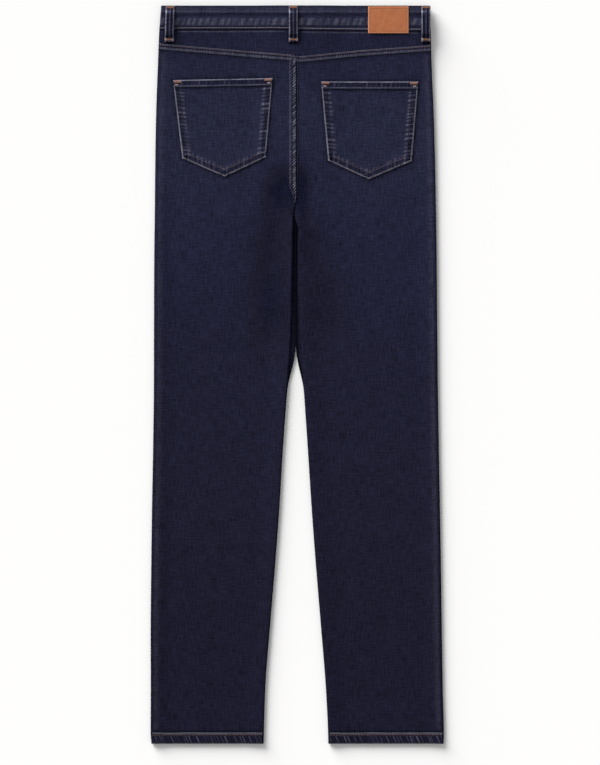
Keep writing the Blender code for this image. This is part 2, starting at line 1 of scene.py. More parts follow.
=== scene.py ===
# Straight leg jeans laid flat on their front, back side up.
# Heights run up the garment from the hems, in millimetres. +x is the wearer's right.
import math

import bpy
import numpy as np
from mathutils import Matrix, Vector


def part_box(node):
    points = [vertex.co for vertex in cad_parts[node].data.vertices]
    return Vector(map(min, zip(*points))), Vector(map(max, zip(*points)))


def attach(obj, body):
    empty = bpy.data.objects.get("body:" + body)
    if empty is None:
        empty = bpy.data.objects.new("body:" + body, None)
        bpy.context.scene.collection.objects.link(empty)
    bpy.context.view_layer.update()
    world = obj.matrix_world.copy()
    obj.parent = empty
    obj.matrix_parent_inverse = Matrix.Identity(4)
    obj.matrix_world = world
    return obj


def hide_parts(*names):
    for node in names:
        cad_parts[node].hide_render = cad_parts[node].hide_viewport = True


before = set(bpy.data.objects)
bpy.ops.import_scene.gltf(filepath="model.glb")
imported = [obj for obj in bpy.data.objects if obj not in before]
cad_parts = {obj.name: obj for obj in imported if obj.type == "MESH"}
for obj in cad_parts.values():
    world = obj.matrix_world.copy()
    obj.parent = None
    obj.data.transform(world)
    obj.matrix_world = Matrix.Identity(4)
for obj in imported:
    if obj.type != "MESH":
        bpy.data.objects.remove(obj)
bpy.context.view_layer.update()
mm = 0.001

garment = {
    "length": 1062.0,
    "crotch": 737.0,
    "seatSeamEnd": 775.0,
    "gap": 0.3,
    "denim": 1.2,
    "fell": 0.8,
    "foldRun": 2.6,         # how far in a folded edge's rounding reaches
    "foldWall": 0.45,
    "edgeEase": 32.0,
    "frontSeam": -3.5,
    "backSeamDrift": 4.7,
    "band": 2.6,
    "bandFront": 2.3,
    "bandSideTop": 7.8,
    "bandCentreTop": 10.7,
    "frontDip": 20.0,
}

outlineTable = {
    "height": (0, 16, 80, 163, 250, 336, 423, 509, 590, 667, 737, 765, 812, 898, 984, 1028, 1062),
    "leftOuter": (-209.8, -211, -210.8, -211, -210.2, -209.1, -207.5, -206.4, -206.2, -206,
                  -205.4, -205, -204.6, -203.3, -200.2, -198.4, -195.6),
    "leftInner": (-48.4, -48, -46, -39.6, -32.4, -25.9, -20.7, -14.4, -8.8, -7.3, -5.8,
                  -3.65, -3.65, -3.65, -3.65, -3.65, -3.65),
    "rightInner": (44.8, 44.4, 41.2, 34.6, 27.4, 20.9, 15.3, 9.5, 4.6, 1.2, 0.9,
                   -3.35, -3.35, -3.35, -3.35, -3.35, -3.35),
    "rightOuter": (210.8, 211, 209.4, 208.1, 206.9, 205.5, 203.9, 202.5, 201.6, 201, 200.2,
                   199.7, 198.9, 196.7, 193.1, 192, 188.6),
}

layerTable = {
    "height": (0, 14, 70, 690, 750, 790, 868, 950, 1006, 1062),
    "front": (0, 0, 0, 0, 0, 0, 0, 0.8, 2.9, 2.9),
    "sideFold": (5.2, 5.2, 5.2, 5.2, 5.2, 5.2, 5.4, 6.1, 7.2, 7.2),
    "innerFold": (5.2, 5.2, 5.2, 5.2, 6.4, 6.4, 6.4, 6.4, 6.4, 6.4),
    "beside": (3.6, 3.6, 2.9, 2.9, 3.1, 3.3, 4.1, 5.6, 7.2, 7.2),
    "over": (3.6, 3.6, 2.9, 2.9, 3.9, 4.4, 7.0, 8.3, 10.1, 10.1),
}

yokeLine = {"x": (-210, -200, -9, 4, 90, 192, 210),
            "height": (1008.5, 1007.7, 991.5, 989, 998, 1005.3, 1006.5)}
bandLine = {"x": (-210, -198, -32, 24, 192, 210),
            "height": (1027.4, 1027.4, 1027.8, 1026.4, 1025.4, 1025.4)}


# Curves that several pieces share

def smooth(t):
    t = np.clip(t, 0.0, 1.0)
    return t * t * (3.0 - 2.0 * t)


def bump(t, centre, width):
    return np.exp(-((t - centre) / width) ** 2)


def between(t, low, lowEase, high, highEase):
    # 1 from low to high, eased to 0 just inside both.
    return smooth((t - low) / lowEase) * smooth((high - t) / highEase)


def read(table, name, height):
    # A named column at a height, on a curve that never overshoots its rows.
    heights, values = np.array(table["height"], float), np.array(table[name], float)
    steps = np.diff(heights)
    rates = np.diff(values) / steps
    before, after = rates[:-1], rates[1:]
    same = before * after > 0.0
    slopes = np.concatenate([rates[:1], np.zeros(len(before)), rates[-1:]])
    slopes[1:-1][same] = (2.0 * before * after)[same] / (before + after)[same]
    h = np.clip(height, heights[0], heights[-1])
    k = np.clip(np.searchsorted(heights, h, side="right") - 1, 0, len(steps) - 1)
    t = (h - heights[k]) / steps[k]
    lean = steps[k] * (slopes[k] * t * (1 - t) ** 2 - slopes[k + 1] * t * t * (1 - t))
    return values[k] + (values[k + 1] - values[k]) * t * t * (3 - 2 * t) + lean


def rounded(edge, radius):
    # 0 at an edge, on a quarter circle to 1 at its radius.
    return np.sqrt(np.clip(1 - (1 - np.clip(edge / radius, 0, 1)) ** 2, 0, 1))


def lineHeight(line, x):
    return np.interp(x, line["x"], line["height"])


def outer(side, height):
    return read(outlineTable, side + "Outer", height)


def inner(side, height):
    # The seat seam and the inseam of a back panel.
    shift = garment["backSeamDrift"] * smooth((height - 765.0) / 35.0)
    if side == "left":
        shift = shift - 2.3 * bump(height, 763.0, 14.0)
    else:
        shift = shift + 1.3 * bump(height, 740.0, 4.5) - 0.6 * bump(height, 758.0, 9.0)
    return read(outlineTable, side + "Inner", height) + shift


def turnedDown(height):
    span = garment["seatSeamEnd"] - garment["crotch"]
    return 1.0 - smooth((height - garment["crotch"]) / span)


def overFly(x):
    return 1.0 - smooth((np.abs(x - garment["frontSeam"] - 5.0) - 30.0) / 40.0)


def frontDip(x):
    reach = 200.2 - garment["frontSeam"]
    away = np.minimum(np.abs(x - garment["frontSeam"]) / reach, 1.0)
    return garment["frontDip"] * np.cos(0.5 * np.pi * away) ** 2


def ridges(s, spacing, seed, jitter=0.35):
    # Uneven ridges along s: up to 1 on a ridge, 0 in the troughs.
    draw = np.random.RandomState(seed)
    count = int((np.max(s) - np.min(s)) / spacing * 1.6) + 6
    steps = spacing * (1.0 + jitter * (2.0 * draw.rand(count) - 1.0))
    knots = np.min(s) - spacing + np.concatenate([[0.0], np.cumsum(steps)])
    tall = 0.35 + 0.65 * draw.rand(count + 1)
    phase = np.interp(s, knots, np.arange(count + 1))
    near = np.clip(np.rint(phase).astype(int), 0, count)
    return (0.5 + 0.5 * np.cos(2 * np.pi * phase)) * tall[near]


def drift(s, spacing, seed):
    # Slow uneven wander between -1 and 1.
    draw = np.random.RandomState(seed)
    knots = np.arange(np.min(s) - spacing, np.max(s) + 2 * spacing, spacing)
    values = 2.0 * draw.rand(len(knots)) - 1.0
    k = np.clip(np.searchsorted(knots, s) - 1, 0, len(knots) - 2)
    t = smooth((s - knots[k]) / spacing)
    return values[k] * (1 - t) + values[k + 1] * t


# How the cloth lies, how its dye has faded, and the shade painted beside the crotch

# Soft troughs (below 0) and ridges: from x, height to x, height, half width, depth
creases = (
    (-26, 805, -52, 660, 15, -0.7), (-52, 660, -44, 560, 17, -0.35),
    (-13, 790, -15, 620, 6, 0.45), (8, 800, 12, 745, 7, -0.8),
    (3.5, 774, 4.5, 742, 5, 0.9), (8, 736, 46, 690, 6, -0.45),
    (14, 742, 60, 712, 7, 0.35), (40, 690, 34, 560, 15, -0.35),
    (-70, 792, -120, 775, 8, -0.28), (-60, 770, -104, 738, 8, 0.25),
    (50, 790, 96, 776, 8, -0.25), (-196, 470, -130, 452, 9, -0.22),
    (-30, 452, -92, 430, 8, -0.26), (-186, 428, -110, 418, 7, 0.2),
    (196, 462, 120, 448, 9, -0.22), (30, 440, 96, 424, 8, -0.24),
    (188, 416, 110, 404, 7, 0.2), (-160, 300, -90, 286, 8, -0.14),
    (160, 292, 100, 280, 8, -0.14), (-150, 120, -84, 96, 9, -0.16),
    (88, 130, 160, 104, 9, -0.16), (-150, 985, -110, 975, 7, -0.2),
    (70, 985, 120, 980, 7, -0.2), (-185, 700, -172, 600, 9, -0.16),
    (186, 690, 176, 590, 9, -0.16),
)

# Where the tone is deeper (below 0) or paler: x, height, half widths, amount. The deeper spots on both
# sides of the crotch gap are painted shade; the paler spots are faded dye.
fadeAndShadeSpots = (
    (-24, 800, 26, 34, -0.72), (-38, 735, 26, 50, -0.34), (-36, 640, 30, 60, -0.42),
    (5, 800, 13, 34, -0.80), (12, 735, 20, 40, -0.36), (38, 640, 28, 62, -0.28),
    (-110, 875, 60, 60, 0.22), (104, 872, 60, 60, 0.18), (-180, 900, 14, 90, 0.12),
    (-170, 740, 26, 60, 0.1), (150, 640, 50, 60, 0.06), (-9, 640, 5, 90, 0.1),
)


def crease(x, height):
    lift = np.zeros_like(x)
    for x0, h0, x1, h1, width, depth in creases:
        length = math.hypot(x1 - x0, h1 - h0)
        ux, uh = (x1 - x0) / length, (h1 - h0) / length
        along = ((x - x0) * ux + (height - h0) * uh) / length
        bow = 0.06 * length * np.sin(np.pi * np.clip(along, 0, 1))
        aside = (x - x0) * uh - (height - h0) * ux + bow
        ends = smooth(along / 0.3 + 0.5) * smooth((1 - along) / 0.3 + 0.5)
        lift += depth * np.exp(-(aside / width) ** 2) * ends
    return lift


def fadeAndShade(x, height):
    # Dye fade by height and the spots above, with painted shade beside the crotch
    tone = np.interp(height, (0, 130, 330, 560, 720, 820, 900, 985, 1000),
                     (0.29, 0.31, 0.41, 0.49, 0.64, 0.82, 0.94, 0.78, 0.60))
    for x0, h0, wide, tall, amount in fadeAndShadeSpots:
        tone = tone + amount * np.exp(-((x - x0) / wide) ** 2 - ((height - h0) / tall) ** 2)
    return tone


def backFace(side, x, height):
    over = overFly(x)
    level = read(layerTable, "beside", height) * (1 - over) + read(layerTable, "over", height) * over
    atSide = 1 - smooth(np.abs(x - outer(side, height)) / garment["edgeEase"])
    atInseam = 1 - smooth(np.abs(x - inner(side, height)) / garment["edgeEase"])
    level = level + (read(layerTable, "sideFold", height) - level) * atSide
    level = level + (read(layerTable, "innerFold", height) - level) * atInseam * turnedDown(height)
    return level + crease(x, height)


# Finishes: each reads the cloth's own map, its wear and painted shade, and its fade and painted shade

def makeNodes(name):
    made = bpy.data.materials.new(name)
    made.use_nodes = True
    return made, made.node_tree, made.node_tree.nodes["Principled BSDF"]


def add(tree, kind, **settings):
    node = tree.nodes.new(kind)
    for key, value in settings.items():
        setattr(node, key, value)
    return node


def math2(tree, operation, a, b):
    node = add(tree, "ShaderNodeMath", operation=operation)
    for socket, value in zip(node.inputs, (a, b)):
        if isinstance(value, (int, float)):
            socket.default_value = value
        else:
            tree.links.new(value, socket)
    return node.outputs[0]


def mixColour(tree, factor, a, b, blend="MIX"):
    node = add(tree, "ShaderNodeMix", data_type="RGBA", blend_type=blend)
    for socket, value in zip((node.inputs[0], node.inputs[6], node.inputs[7]), (factor, a, b)):
        if isinstance(value, (int, float)):
            socket.default_value = value
        elif isinstance(value, tuple):
            socket.default_value = (*value, 1.0)
        else:
            tree.links.new(value, socket)
    return node.outputs[2]


def threads(tree, scaleX, scaleY, detail):
    # Noise drawn out along one thread direction; scales are in features a metre.
    place = add(tree, "ShaderNodeUVMap", uv_map="UVMap")
    stretch = add(tree, "ShaderNodeMapping")
    stretch.inputs["Scale"].default_value = (scaleX, scaleY, 1.0)
    noise = add(tree, "ShaderNodeTexNoise", noise_dimensions="2D")
    noise.inputs["Scale"].default_value = 1.0
    noise.inputs["Detail"].default_value = detail
    tree.links.new(place.outputs[0], stretch.inputs[0])
    tree.links.new(stretch.outputs[0], noise.inputs[0])
    return noise.outputs[0]


def raiseGrain(tree, shader, height, strength, distance):
    grain = add(tree, "ShaderNodeBump")
    grain.inputs["Strength"].default_value = strength
    grain.inputs["Distance"].default_value = distance
    tree.links.new(height, grain.inputs["Height"])
    tree.links.new(grain.outputs[0], shader.inputs["Normal"])


def wornAndShaded(tree, colour, gain, reach, pale, dark):
    # Paler as worn cloth where the wear-and-shade value is above 0, painted shade where it is below.
    worn = add(tree, "ShaderNodeAttribute", attribute_name="wearAndShade").outputs["Fac"]
    up = math2(tree, "MAXIMUM", worn, 0.0)
    colour = mixColour(tree, math2(tree, "MULTIPLY", up, gain), colour, pale)
    down = math2(tree, "MAXIMUM", math2(tree, "MULTIPLY", worn, -reach), 0.0)
    return mixColour(tree, down, colour, dark)


denimLook = {
    "deepest": (0.0050, 0.0060, 0.0192),
    "ankle": (0.0096, 0.0093, 0.0222),
    "thigh": (0.0129, 0.0137, 0.0345),
    "seat": (0.0166, 0.0178, 0.0405),
    "worn": (0.190, 0.185, 0.235),
    "shaded": (0.0012, 0.0012, 0.0040),
    "slub": 0.60,
    "roughness": 0.93,
    "gloss": 0.06,
    "threads": (        # features a metre across and along, detail, amount
        (620.0, 62.0, 2.0, 0.9), (70.0, 560.0, 2.0, 0.75),
        (1500.0, 1300.0, 1.0, 0.55), (42.0, 30.0, 3.0, 0.22),
    ),
    "twill": 330.0,
}


def denimFinish(name, look):
    made, tree, shader = makeNodes(name)
    fadedAndShaded = add(tree, "ShaderNodeAttribute", attribute_name="fadeAndShade").outputs["Fac"]
    # The fade-and-shade value picks the dye tone; its dark end is painted shade beside the crotch
    ramp = add(tree, "ShaderNodeValToRGB")
    ramp.color_ramp.elements[0].color = (*look["deepest"], 1.0)
    ramp.color_ramp.elements[1].color = (*look["seat"], 1.0)
    for place, key in ((0.36, "ankle"), (0.66, "thigh")):
        ramp.color_ramp.elements.new(place).color = (*look[key], 1.0)
    tree.links.new(fadedAndShaded, ramp.inputs[0])
    slub = 0.0
    for across, along, detail, amount in look["threads"]:
        part = math2(tree, "MULTIPLY", threads(tree, across, along, detail), amount)
        slub = math2(tree, "ADD", part, slub)
    slub = math2(tree, "SUBTRACT", slub, 0.5 * sum(kind[3] for kind in look["threads"]))
    gain = math2(tree, "ADD", math2(tree, "MULTIPLY", slub, look["slub"] * 2.4), 1.0)
    gain = math2(tree, "MAXIMUM", gain, 0.3)
    tinted = add(tree, "ShaderNodeCombineColor")
    for socket in tinted.inputs:
        tree.links.new(gain, socket)
    colour = mixColour(tree, 1.0, ramp.outputs[0], tinted.outputs[0], "MULTIPLY")
    paler = math2(tree, "MULTIPLY", gain, 1.2)
    colour = wornAndShaded(tree, colour, paler, 1.5, look["worn"], look["shaded"])
    tree.links.new(colour, shader.inputs["Base Color"])
    shader.inputs["Roughness"].default_value = look["roughness"]
    shader.inputs["Specular IOR Level"].default_value = look["gloss"]
    twill = add(tree, "ShaderNodeTexWave", wave_type="BANDS", bands_direction="DIAGONAL")
    twill.inputs["Scale"].default_value = look["twill"]
    twill.inputs["Distortion"].default_value = 1.2
    tree.links.new(add(tree, "ShaderNodeUVMap", uv_map="UVMap").outputs[0], twill.inputs[0])
    relief = math2(tree, "ADD", slub, math2(tree, "MULTIPLY", twill.outputs["Fac"], 0.25))
    raiseGrain(tree, shader, relief, 0.5, 0.0005)
    return made


def speckled(tree, shader, scale, detail, deep, bright):
    place = add(tree, "ShaderNodeTexCoord").outputs["Object"]
    noise = add(tree, "ShaderNodeTexNoise")
    noise.inputs["Scale"].default_value = scale
    noise.inputs["Detail"].default_value = detail
    tree.links.new(place, noise.inputs[0])
    tree.links.new(mixColour(tree, noise.outputs[0], deep, bright), shader.inputs["Base Color"])
    return place, noise.outputs[0]


threadLook = {"speckle": 420.0, "twist": 900.0, "roughness": 0.6, "sheen": 0.1}


def threadFinish(name, colour, deep):
    made, tree, shader = makeNodes(name)
    place, _ = speckled(tree, shader, threadLook["speckle"], 2.0, deep, colour)
    shader.inputs["Roughness"].default_value = threadLook["roughness"]
    shader.inputs["Sheen Weight"].default_value = threadLook["sheen"]
    twist = add(tree, "ShaderNodeTexWave", wave_type="BANDS", bands_direction="DIAGONAL")
    twist.inputs["Scale"].default_value = threadLook["twist"]
    tree.links.new(place, twist.inputs[0])
    raiseGrain(tree, shader, twist.outputs["Fac"], 0.6, 0.0002)
    return made


# groove is the painted shade colour, used in the patch's stitch groove and fold troughs
leatherLook = {
    "tan": (0.43, 0.135, 0.042), "shade": (0.31, 0.085, 0.024), "edge": (0.55, 0.25, 0.13),
    "groove": (0.09, 0.03, 0.012), "cloud": 95.0, "grain": 1100.0, "roughness": 0.58,
}


def leatherFinish(name, look):
    made, tree, shader = makeNodes(name)
    cloud = threads(tree, look["cloud"], look["cloud"], 4.0)
    grain = threads(tree, look["grain"], look["grain"], 3.0)
    colour = mixColour(tree, cloud, look["shade"], look["tan"])
    pores = math2(tree, "MULTIPLY", math2(tree, "SUBTRACT", grain, 0.5), 0.5)
    colour = mixColour(tree, math2(tree, "MAXIMUM", pores, 0.0), colour, look["edge"])
    colour = wornAndShaded(tree, colour, 1.0, 1.0, look["edge"], look["groove"])
    tree.links.new(colour, shader.inputs["Base Color"])
    shader.inputs["Roughness"].default_value = look["roughness"]
    relief = math2(tree, "ADD", grain, math2(tree, "MULTIPLY", cloud, 2.0))
    raiseGrain(tree, shader, relief, 0.5, 0.0003)
    return made


def metalFinish(name, bright, dull):
    made, tree, shader = makeNodes(name)
    _, noise = speckled(tree, shader, 700.0, 4.0, dull, bright)
    shader.inputs["Metallic"].default_value = 1.0
    rough = math2(tree, "ADD", math2(tree, "MULTIPLY", noise, 0.3), 0.22)
    tree.links.new(rough, shader.inputs["Roughness"])
    return made


denim = denimFinish("denim", denimLook)
copperThread = threadFinish("thread", (0.29, 0.12, 0.065), (0.15, 0.06, 0.035))
greyThread = threadFinish("thread_grey", (0.27, 0.22, 0.22), (0.15, 0.12, 0.13))
navyThread = threadFinish("thread_navy", (0.030, 0.026, 0.05), (0.014, 0.012, 0.028))
dullThread = threadFinish("thread_dull", (0.19, 0.095, 0.075), (0.09, 0.045, 0.040))
leather = leatherFinish("leather", leatherLook)
copper = metalFinish("metal", (0.50, 0.26, 0.15), (0.22, 0.11, 0.07))


# Making a sheet of cloth

def layCloth(name, columnCount, rowCount, place, wall, inwards, finish=denim):
    # A grid whose points are moved by place(i, j) to x, height, level, with wear and painted shade, and
    # dye fade and painted shade.
    bpy.ops.object.select_all(action="DESELECT")
    bpy.ops.mesh.primitive_grid_add(x_subdivisions=columnCount - 1, y_subdivisions=rowCount - 1,
                                    size=1.0)
    piece = bpy.context.object
    piece.name = piece.data.name = name
    mesh = piece.data
    points = np.empty(len(mesh.vertices) * 3)
    mesh.vertices.foreach_get("co", points)
    points = points.reshape(-1, 3)
    i = np.rint((points[:, 0] + 0.5) * (columnCount - 1)).astype(int)
    j = np.rint((points[:, 1] + 0.5) * (rowCount - 1)).astype(int)
    x, height, level, wearAndShade, fadedAndShaded = place(i, j)
    points[:, 0] = x * mm
    points[:, 1] = (height - 0.5 * garment["length"]) * mm
    points[:, 2] = level * mm
    mesh.vertices.foreach_set("co", points.ravel())
    for key, values in (("wearAndShade", wearAndShade), ("fadeAndShade", fadedAndShaded)):
        layer = mesh.attributes.new(key, "FLOAT", "POINT")
        layer.data.foreach_set("value", np.broadcast_to(values, x.shape).astype(np.float32))
    corner = np.empty(len(mesh.loops), dtype=np.int32)
    mesh.loops.foreach_get("vertex_index", corner)
    mesh.uv_layers["UVMap"].data.foreach_set("uv", points[corner, :2].ravel())
    mesh.update()
    if sum(face.normal.z * face.area for face in mesh.polygons) < 0.0:
        mesh.flip_normals()
    solid = piece.modifiers.new("wall", "SOLIDIFY")
    solid.thickness = wall * mm
    solid.offset = -1.0 if inwards == "down" else 1.0
    bpy.ops.object.modifier_apply(modifier=solid.name)
    mesh.materials.append(finish)
    bpy.ops.object.shade_smooth_by_angle(angle=math.radians(50.0))
    return piece


def joinTo(piece, extras):
    bpy.ops.object.select_all(action="DESELECT")
    for extra in extras:
        extra.select_set(True)
    piece.select_set(True)
    bpy.context.view_layer.objects.active = piece
    bpy.ops.object.join()
    return piece


def declare(piece, nodes):
    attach(piece, "root")
    if nodes:
        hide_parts(*nodes)


foldAngles = np.radians([0.0, 18.0, 36.0, 54.0, 72.0, 90.0])
foldRuns = np.concatenate([[0.0], garment["foldRun"] * (1 - np.cos(foldAngles))])
foldLifts = np.concatenate([[-1.0], np.sin(foldAngles)])
flatRuns = 0.4 * np.arange(len(foldRuns))


def spread(middle):
    # Columns from the inner to the outer edge: share of the way, run and lift at the folds.
    count = len(foldRuns)
    share = np.concatenate([np.zeros(count), np.linspace(0, 1, middle + 2)[1:-1], np.ones(count)])
    run = np.concatenate([foldRuns, np.full(middle, foldRuns[-1]), foldRuns[::-1]])
    flat = np.concatenate([flatRuns, np.full(middle, flatRuns[-1]), flatRuns[::-1]])
    lift = np.concatenate([foldLifts, np.ones(middle), foldLifts[::-1]])
    return {"share": share, "run": run, "flat": flat, "lift": lift}


def columnX(columns, i, innerX, outerX, amount):
    share, run, flat = columns["share"][i], columns["run"][i], columns["flat"][i]
    ahead = np.sign(outerX - innerX)
    near = run * amount + flat * (1 - amount)
    return (innerX + ahead * near) * (1 - share) + (outerX - ahead * run) * share


def foldDown(columns, i, face, seam, amount):
    lift, share = columns["lift"][i], columns["share"][i]
    start = seam + np.where(face > seam, garment["foldWall"], -garment["foldWall"])
    folded = np.where(lift < 0, seam, start + (face - start) * np.abs(lift))
    return face + (folded - face) * np.where(share < 0.5, amount, 1.0)


def seamLevel(edge, height):
    return 0.5 * (read(layerTable, "front", height) + read(layerTable, edge, height))


def foldSeam(columns, i, height):
    # The level that each column folds towards.
    isInner = columns["share"][i] < 0.5
    return np.where(isInner, seamLevel("innerFold", height), seamLevel("sideFold", height))


def settle(columns, i, raw, side, innerAt, topAt, base, rounds):
    # Rows above base are spread so that the last one lies along the panel's top.
    height = raw.copy()
    for _ in range(rounds):
        amount = np.where(columns["share"][i] < 0.5, turnedDown(height), 1.0)
        x = columnX(columns, i, innerAt(side, height), outer(side, height), amount)
        top = topAt(side, x)
        height = np.where(raw > base, base + (raw - base) * (top - base) / (1000.0 - base), raw)
    return x, height, top, amount


def mirrored(side, count, i):
    # Faces look up on both sides when columns run towards +x.
    return i if side == "right" else count - 1 - i


# Stitches, joined into one piece for each thread

def stitchShape():
    bpy.ops.object.select_all(action="DESELECT")
    bpy.ops.mesh.primitive_uv_sphere_add(segments=6, ring_count=4, radius=0.5)
    seed = bpy.context.object
    mesh = seed.data
    points = np.array([tuple(v.co) for v in mesh.vertices])
    faces = [tuple(p.vertices) for p in mesh.polygons]
    bpy.data.objects.remove(seed, do_unlink=True)
    bpy.data.meshes.remove(mesh)
    # the ball's poles lie along the thread and its ends are blunt
    points = points[:, (2, 0, 1)]
    points[:, 0] = np.sign(points[:, 0]) * np.abs(points[:, 0] * 2) ** 0.7 * 0.5
    return points, faces


stitchPoints, stitchFaces = stitchShape()
stitchLook = {"sink": 0.12, "wobble": 0.05, "tack": 0.85, "flat": 0.8}


class Threadwork:
    def __init__(self):
        self.places = []

    def one(self, x, height, level, dx, dh, long, thick, slope=0.0):
        self.places.append((x, height, level, dx, dh, long, thick, slope))

    def row(self, path, levelAt, long=2.7, pause=0.7, thick=0.62, seed=1):
        # Stitches along a path of x, height corners, each pulled a little into the cloth.
        path = np.array(path, float)
        steps = np.hypot(*np.diff(path, axis=0).T)
        marks = np.concatenate([[0.0], np.cumsum(steps)])
        draw = np.random.RandomState(seed)
        count = int(marks[-1] / (long + pause))
        for k in range(count):
            at = (k + 0.5) * marks[-1] / count
            ends = [np.array([np.interp(at + o, marks, path[:, c]) for c in (0, 1)])
                    for o in (-0.5 * long, 0.5 * long)]
            middle, way = 0.5 * (ends[0] + ends[1]), ends[1] - ends[0]
            way = way / max(np.hypot(*way), 1e-6)
            turn = stitchLook["wobble"] * (draw.rand() - 0.5)
            dx, dh = way[0] - way[1] * turn, way[1] + way[0] * turn
            levels = [float(levelAt(np.array([p[0]]), np.array([p[1]]))[0]) for p in ends]
            level = 0.5 * sum(levels) + 0.5 * thick - stitchLook["sink"]
            self.one(middle[0], middle[1], level, dx, dh,
                     long * (0.94 + 0.12 * draw.rand()), thick, (levels[1] - levels[0]) / long)

    def tack(self, x, height, levelAt, wide, tall):
        # A bar-tack: upright threads laid side by side.
        thick = stitchLook["tack"]
        count = max(int(wide / (0.72 * thick)), 2)
        for k in range(count):
            at = x + ((k + 0.5) / count - 0.5) * wide
            level = float(levelAt(np.array([at]), np.array([height]))[0]) + 0.42 * thick
            self.one(at, height, level, 0.12, 1.0, tall, thick)

    def make(self, name, finish, slot):
        data = np.array(self.places)
        size = np.hypot(data[:, 3], data[:, 4])
        dx, dh = data[:, 3] / size, data[:, 4] / size
        local = stitchPoints[None, :, :] * np.stack(
            [data[:, 5], data[:, 6], data[:, 6] * stitchLook["flat"]], axis=1)[:, None, :]
        x = data[:, 0, None] + local[:, :, 0] * dx[:, None] - local[:, :, 1] * dh[:, None]
        h = data[:, 1, None] + local[:, :, 0] * dh[:, None] + local[:, :, 1] * dx[:, None]
        z = data[:, 2, None] + local[:, :, 2] + local[:, :, 0] * data[:, 7, None]
        points = np.stack([x, h - 0.5 * garment["length"], z], axis=2).reshape(-1, 3) * mm
        count = len(stitchPoints)
        faces = [tuple(v + k * count for v in face) for k in range(len(data)) for face in stitchFaces]
        mesh = bpy.data.meshes.new(name)
        mesh.from_pydata(points.tolist(), [], faces)
        mesh.shade_smooth()
        mesh.materials.append(finish)
        piece = bpy.data.objects.new(name, mesh)
        bpy.context.scene.collection.objects.link(piece)
        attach(piece, "root")
        return piece


class Underwork(Threadwork):
    # Stitches that face the surface: levels count downwards and stay above it.
    def one(self, x, height, level, dx, dh, long, thick, slope=0.0):
        super().one(x, height, max(-level, 0.0) + 0.2, dx, dh, long, thick, 0.0)


coppers, greys, navies, dulls = (Threadwork() for _ in range(4))
under = Underwork()


# Back panels with their hems and felled seams

hem = {"depth": 16.0, "raise": 0.9, "stitch": 12.8, "rope": 4.6}
centreFell = {"width": 12.6, "raise": 0.9, "bottom": 778.0, "top": 990.0, "taper": 27.0,
              "pucker": 3.9, "edgePucker": 6.1}
yokeFell = {"width": 8.7, "raise": 0.85, "tick": 3.4, "left": (-198.0, -2.0), "right": (3.0, 191.0)}


def backPanel(side):
    columns = spread(52)
    total = len(columns["share"])
    rows = np.concatenate([np.linspace(0.0, 720.0, 250), np.linspace(720.0, 800.0, 44)[1:],
                           np.linspace(800.0, 1000.0, 70)[1:]])

    def place(i, j):
        i = mirrored(side, total, i)
        x, height, _, amount = settle(
            columns, i, rows[j], side, inner,
            lambda side, x: lineHeight(yokeLine, x) - garment["gap"], 800.0, 3)
        seam = foldSeam(columns, i, height) + 0.5 * garment["gap"]
        level = foldDown(columns, i, backFace(side, x, height), seam, amount)
        toOuter = np.abs(x - outer(side, height))
        toInner = np.abs(x - inner(side, height))
        # Painted shade at the side and inseam folds and in the dip above the hem, a faint painted
        # highlight 7 mm in from the side, painted shadow around the pocket and below the yoke fell
        wearAndShade = -0.45 * bump(toOuter, 0, 1.6) - 0.35 * bump(toInner, 0, 1.6) * turnedDown(height)
        wearAndShade = wearAndShade + 0.05 * bump(toOuter, 7, 4) - 0.5 * bump(height, hem["depth"] + 1.4, 1.6)
        for pocket in pockets.values():
            wearAndShade = wearAndShade + pocketShade(pocket, x, height)
        wearAndShade = wearAndShade - 0.35 * bump(lineHeight(yokeLine, x) - yokeFell["width"] - height, 1.4, 1.6)
        return x, height, level, wearAndShade, fadeAndShade(x, height)

    return layCloth("cloth_back_" + side, total, len(rows), place, garment["denim"], "down")


def strip(name, count, width, pathAt, levelAt, raised, rowsAcross, puckers, finishWear, wall=0.8):
    # A folded strip on a panel: s runs along it, d across it from its first edge.
    d = np.concatenate([[0.0, 0.12, 0.35, 0.7], np.linspace(1.1, width - 1.1, rowsAcross),
                        [width - 0.7, width - 0.35, width - 0.12, width]])
    s = np.linspace(0.0, 1.0, count)

    def place(i, j):
        across, along = d[j], s[i]
        x, height, length = pathAt(along, across)
        edge = np.minimum(across, width - across)
        rounding = rounded(edge, 0.9)
        lift, wearAndShade = puckers(length, across)
        level = levelAt(x, height) + (raised + lift) * rounding - 0.25 * (1 - rounding)
        return x, height, level, wearAndShade + finishWear(across, width), fadeAndShade(x, height)

    return layCloth(name, count, len(d), place, wall, "down")


def hemEnds(side):
    at = np.array([hem["stitch"]])
    return sorted((inner(side, at)[0], outer(side, at)[0]))


